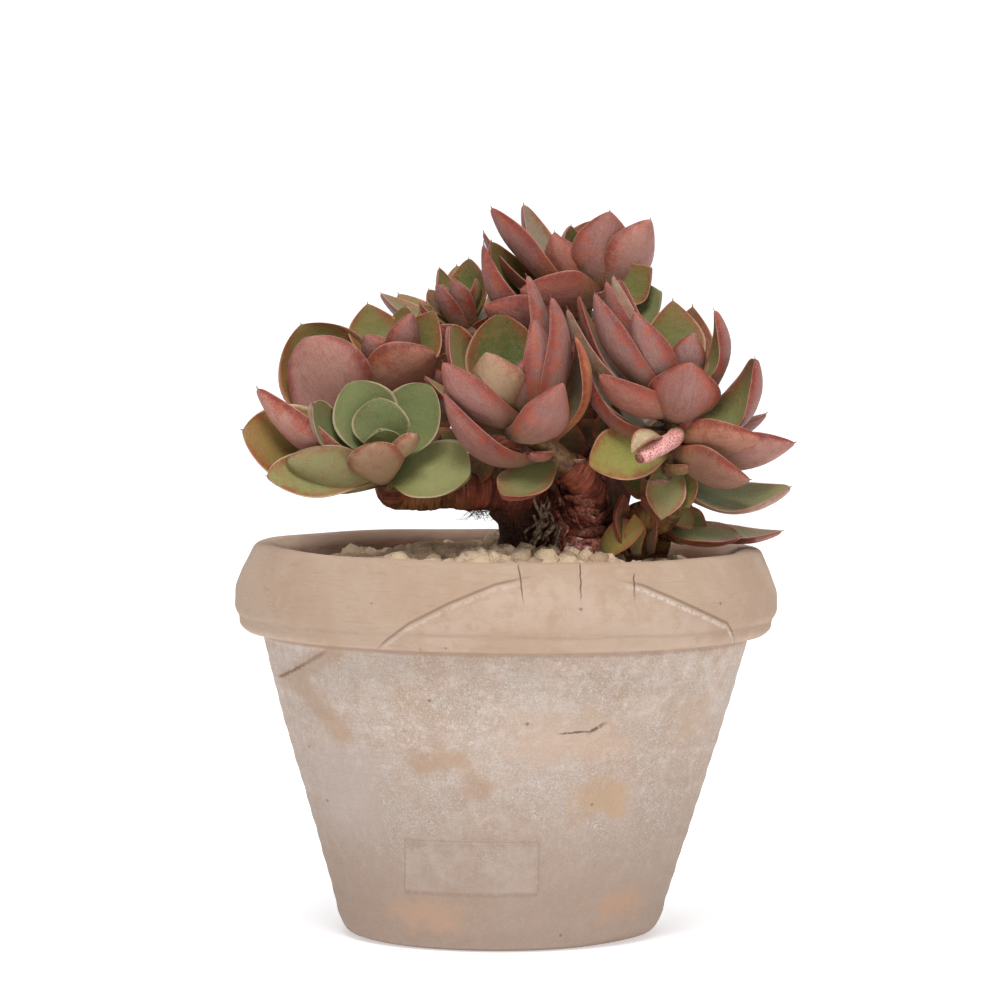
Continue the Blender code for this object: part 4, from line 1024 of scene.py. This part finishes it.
def scars(seed, knot=0.0):
    """The relief of old leaf scars: fine rings round the stem and a low ridge every few
    millimetres, slanted and broken up by slow waves, with shallow furrows along it. A knot, if
    any, swells on its right 31 mm from the start, above a slight waist.
    """
    phase = np.random.default_rng(seed).uniform(0, 6.28, 8)

    def relief(turn, gone):
        slant = gone + 0.8 * np.sin(turn + phase[0]) \
            + 0.5 * np.sin(2 * turn + phase[1] + gone * 0.2)
        fine = np.sin(slant * 2 * math.pi / 1.5 + np.sin(3 * turn + phase[6]))
        ridge = np.abs(np.sin(slant * math.pi / 4.4 + phase[2])) ** 0.4
        knob = np.sin(gone * 0.35 + phase[3] + 1.2 * np.sin(turn + phase[4]))
        furrow = np.sin(turn * 11 + 2 * np.sin(gone * 0.25 + phase[5])) * 0.07
        from_start = (turn + math.pi) % (2 * math.pi) - math.pi
        swell = np.exp(-((gone - 31) / 3.2) ** 2 - from_start ** 2 / 0.7)
        waist = -0.35 * np.exp(-((gone - 22) / 5.0) ** 2)
        return 0.5 * ridge - 0.4 + 0.42 * knob + 0.09 * fine + furrow + knot * (swell + waist)
    return relief


bark = Finish("scarred_bark", Specular_IOR_Level=0.3)
spot = bark.attribute("bark")
raised = spot.axes()[2]
here = bark.place()
x_at, y_at, z_at = here.axes()
rings_on = spot.vector("MULTIPLY", (0.10, 1.1, 0.4)).noise(1.0, 4.0, 0.7, 0.4)
fibre = spot.vector("MULTIPLY", (1.6, 0.2, 1.0)).noise(1.0, 4.0, 0.65, 0.5)
patches = here.noise(0.11, 4.0, 0.6)
fine = here.noise(1.8, 3.0, 0.7)
green_wood = here.vector("SUBTRACT", (-26.0, -16.0, 158.0)).vector("DIVIDE", (17.0, 14.0, 7.0))
green_wood = 1.0 - (green_wood.length() + (patches - 0.5)).step(0.5, 1.1)
leafy_wood = x_at.step(39.0, 44.0) * (0.4 + patches.step(0.35, 0.6) * 0.6)
leafy_tone = rings_on.blend(0.35, 0.6, (128, 80, 44), (138, 128, 66))
# the middle trunk under the rosettes: dark old wood, darkened further with painted shade where the
# rosettes overhang it
old_wood_and_shade = x_at.step(21.0, 15.0) * z_at.step(162.0, 154.0) * x_at.step(-6.0, 2.0)
old_and_shaded_tone = fibre.blend(0.4, 0.7, (38, 24, 19), (92, 66, 52))
skin = coated(patches.blend(0.35, 0.65, (100, 48, 36), (160, 84, 62)),
              (rings_on.step(0.48, 0.66), 0.6, (192, 118, 90)),
              (rings_on.step(0.46, 0.34), 0.6, (58, 32, 24)),
              (green_wood * rings_on.step(0.36, 0.5), 0.6, (150, 122, 66)))
skin = (leafy_wood * 0.85).tint(skin, leafy_tone)
skin = coated((old_wood_and_shade * 0.8).tint(skin, old_and_shaded_tone), (raised.step(-0.1, -0.5), 0.6, (44, 24, 20)),
              (fibre.step(0.6, 0.7) * fine.step(0.4, 0.6), 0.5, (190, 150, 122)))
bark.wear(skin, 0.8 - rings_on.step(0.5, 0.7) * 0.25, fibre * 0.6 + fine * 0.6 + rings_on * 1.4,
          0.0006, 0.8)

tubes = []
for k, (x0, y0, radius0, top, knot) in enumerate(TRUNKS):
    levels = np.arange(TRUNK_FOOT, top + 0.5, 0.8)
    route = np.array([(x0, y0, z) for z in levels])
    tubes.append(tube_surface(route, radius0 * (1 - 0.04 * bump_step(levels, 140, top)),
                              BARK_AROUND, scars(50 + k, knot)))
for k, (name, (places, thick, thin)) in enumerate(BRANCHES.items()):
    heart, foot, _ = stance(ROSETTES[name])
    way = unit(foot - heart)
    last = foot + way * (CORE_TAIL + 0.3)
    keys = np.array([*places, last + way * 7, last], float)
    lengths = np.linalg.norm(np.diff(keys, axis=0), axis=1)
    route = smooth_line(keys, [max(3, int(round(v / 0.9))) for v in lengths])
    tubes.append(tube_surface(route, np.linspace(thick, thin, len(route)), BARK_AROUND,
                              scars(70 + k)))
stem = add_piece("scarred_stems", joined(tubes), bark, bark=True)
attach(stem, "root")
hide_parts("stem")

# The papery remains: sheets of old skin that come away round the thick trunk, dried grey strips
# between the trunks, and fine hairs that hang from the bark.
SHEET_THICKNESS, STRIP_THICKNESS = 0.22, 0.2
# the bare lengths of stem that still carry old skin: x, y, height and radius
THICK = np.array([(30, -4, 139, 11.9), (30, -4, 156, 10.8), (31, -1, 168, 9.9), (32, 2, 182, 8.9)])
FRONT = np.array([(31, -4, 150, 8.2), (32, -10, 160, 8.0), (27.5, -17, 169, 7.2)])


def ribbon_surface(route, lift, width, thick):
    """A thin closed strip along a route. Its cut is a rectangle: lift is the way it is thin in,
    and its width lies across the route. Its values are how far across and along a point is.
    """
    heading = unit(np.gradient(route, axis=0))
    side = unit(np.cross(heading, lift))
    a, b = np.array([1, -1, -1, 1]), np.array([1, 1, -1, -1])
    across = a * width[:, None] / 2
    ring = route[:, None] + across[..., None] * side[:, None] \
        + (b * thick / 2)[:, None] * np.cross(side, heading)[:, None]
    share = np.linspace(0, 1, len(route))[:, None]
    values = np.stack([across, share * 20 + 0 * across, b + 0 * across], axis=-1)
    return closed_surface(ring, route[[0, -1]], values, turned=True)


def on_stem(length, level, angle, loose=0.0):
    """Points round a length of stem: at each height, an angle round its axis and a distance off
    its bark. The angle is 0 at the right and grows towards the back.
    """
    def at(z):
        return np.stack([np.interp(z, length[:, 2], length[:, k]) for k in range(4)], axis=-1)

    mid = np.mean(level)
    right, back = sideways(unit((at(mid + 2) - at(mid - 2))[:3]))
    way = np.cos(angle)[:, None] * right + np.sin(angle)[:, None] * back
    return at(level)[:, :3] + (at(level)[:, 3:] + np.reshape(loose, (-1, 1))) * way, way


draw = np.random.default_rng(11)
sheets, strips, hairs = [], [], []
for k in range(90):
    length = FRONT if k % 3 == 0 else THICK
    start, sweep = draw.uniform(-3.3, 0.4), draw.uniform(0.5, 1.9)
    t = np.linspace(0, 1, 14)
    level = draw.uniform(length[0, 2], length[-1, 2]) + draw.uniform(-3, 3) * (t - 0.5) \
        + 0.5 * np.sin(9 * t + k)
    loose = 0.3 + draw.uniform(0.3, 3.0) * np.clip(2 * t - draw.uniform(0.8, 1.4), 0, 1) ** 2
    route, way = on_stem(length, level, start + sweep * (t - 0.5), loose)
    width = draw.uniform(2.0, 7.5) * (0.55 + 0.45 * np.sin(math.pi * t) + 0.12 * np.sin(14 * t + k))
    sheets.append(ribbon_surface(route, way, width, SHEET_THICKNESS))
for k in range(22):
    x0, z0 = draw.uniform(12, 26), draw.uniform(146, 163)
    t = np.linspace(0, 1, 12)
    fall = draw.uniform(6, 16)
    route = np.stack([x0 + draw.uniform(-5, 5) * t + 1.2 * np.sin(6 * t + k),
                      -11.5 - draw.uniform(0, 3.5) * t + 0.8 * np.cos(7 * t + k),
                      z0 - fall * t], axis=1)
    width = draw.uniform(0.4, 1.8) * (0.4 + 0.6 * np.sin(math.pi * np.clip(t * 0.9 + 0.1, 0, 1)))
    strips.append(ribbon_surface(route, (0.3 * math.sin(k), -1.0, 0.2), width, STRIP_THICKNESS))
for k in range(290):
    if k < 60:
        root = np.array([draw.uniform(-12, 1), draw.uniform(-12, -6), 156.5])
        reach = [draw.normal(0, 3.5), draw.normal(-1, 1.5), -draw.uniform(1.0, 4.5)]
    elif k < 210:
        level, angle = [draw.uniform(139, 160)], [draw.uniform(-2.9, -0.1)]
        root = on_stem(THICK, level, angle)[0][0]
        reach = [draw.normal(0, 4), draw.uniform(-4, 0), -draw.uniform(1, 6)]
    else:
        root = np.array([draw.uniform(-1, 20), draw.uniform(-11, -9.5), draw.uniform(140, 154)])
        reach = [draw.normal(0, 3.5), draw.uniform(-3, 0), draw.uniform(-5, 2)]
    t = np.linspace(0, 1, 7)[:, None]
    curl = 0.6 * np.hstack([np.sin(5 * t + k), np.cos(4 * t + k), np.sin(7 * t)])
    hairs.append(tube_surface(root + (reach + curl) * t, np.linspace(0.13, 0.04, 7), 3))
papery = Finish("papery_skin", Roughness=0.45, Specular_IOR_Level=0.5)
spot = papery.attribute("bark")
crinkle = spot.vector("MULTIPLY", (0.6, 0.5, 0.2)).noise(1.0, 4.0, 0.7, 0.5)
streak = spot.vector("MULTIPLY", (1.6, 0.25, 0.2)).noise(1.0, 4.0, 0.7)
pale_skin_and_sheen = papery.place().noise(0.5, 3.0, 0.6)
# the pale streaks and patches are partly pale dry skin and partly painted highlight on the glossy
# skin
papery.wear(coated(crinkle.blend(0.38, 0.62, (98, 46, 38), (176, 104, 84)),
                   (streak.step(0.6, 0.68), 0.7, (214, 164, 146)),
                   (pale_skin_and_sheen.step(0.6, 0.68), 0.75, (232, 200, 184))), height=crinkle, distance=0.0006)
dried = Finish("dried_strip", Roughness=0.85)
here = dried.place()
dried.wear(here.noise(0.4, 4.0, 0.7).blend(0.36, 0.62, (78, 58, 46), (186, 162, 138)),
           height=here.noise(1.2, 3.0, 0.7), distance=0.0005)
hair = Finish("root_hair", Roughness=0.7)
hair.wear(hair.place().noise(0.2, 2.0).blend(0.4, 0.6, (46, 30, 24), (110, 78, 58)))
for name, surfaces, finish in [("papery_sheets", sheets, papery), ("dried_strips", strips, dried),
                               ("root_hairs", hairs, hair)]:
    piece = add_piece(name, joined(surfaces), finish, bark=True)
    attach(piece, "root")

# The leafy stem ends: young wood, red-brown below and greener among the leaves.
young = Finish("young_stem", Roughness=0.6)
mottle = young.place().noise(0.4, 3.0, 0.6)
young.wear(mottle.blend(0.35, 0.65, (88, 48, 36), (124, 98, 54)), height=mottle,
           distance=0.0006)
ends = []
for k, rosette in enumerate(ROSETTES.values()):
    heart, foot, faces = stance(rosette)
    route = smooth_line([heart + 3 * faces, heart, (heart + foot) / 2, foot,
                         foot + CORE_TAIL * unit(foot - heart)], [4, 8, 8, 4])
    radii = np.interp(np.linspace(0, 1, len(route)), (0, 0.17, 0.5, 0.84, 1),
                      np.array((0.35, 0.75, 0.9, 1.0, 1.0)) * CORE_RADIUS)
    ends.append(tube_surface(route, radii, 20, scars(90 + k)))
ends_piece = add_piece("leafy_stem_ends", joined(ends), young)
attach(ends_piece, "root")

# ---------------------------------------------------------------------------------------------
# The cut flower stalk at the foot of the right rosette: pink, speckled, with a dark dried end.
STALK = [(65.5, -17.0, 187.0), (62.0, -33.0, 183.5), (50.0, -42.0, 177.3)]
STALK_RADIUS, STALK_AROUND = 3.7, 28
stalk_finish = Finish("cut_stalk", Roughness=0.5, Specular_IOR_Level=0.4)
gone = stalk_finish.attribute("bark").axes()[1]
dots = stalk_finish.place().noise(1.6, 3.0, 0.7)
pink = dots.blend(0.40, 0.62, (238, 196, 184), (206, 96, 104))
pink = (1.0 - gone.step(8.0, 16.0)).tint(pink, colour(190, 160, 100))
dry_end = dots.blend(0.4, 0.6, (120, 62, 54), (190, 128, 116))
stalk_finish.wear(gone.step(31.9, 32.5).tint(pink, dry_end), height=dots, distance=0.0002)
route = smooth_line(STALK, [14, 16])
share = np.linspace(0, 1, len(route))
surface = tube_surface(
    route, STALK_RADIUS - 0.3 - 0.5 * share - bump_step(share, 0.9, 1.0), STALK_AROUND,
    lambda turn, gone: 0.16 * np.sin(3 * turn + gone * 0.15) + 0.1 * np.sin(gone * 0.9 + turn))
stalk = add_piece("cut_flower_stalk", surface, stalk_finish, bark=True)
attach(stalk, "root")
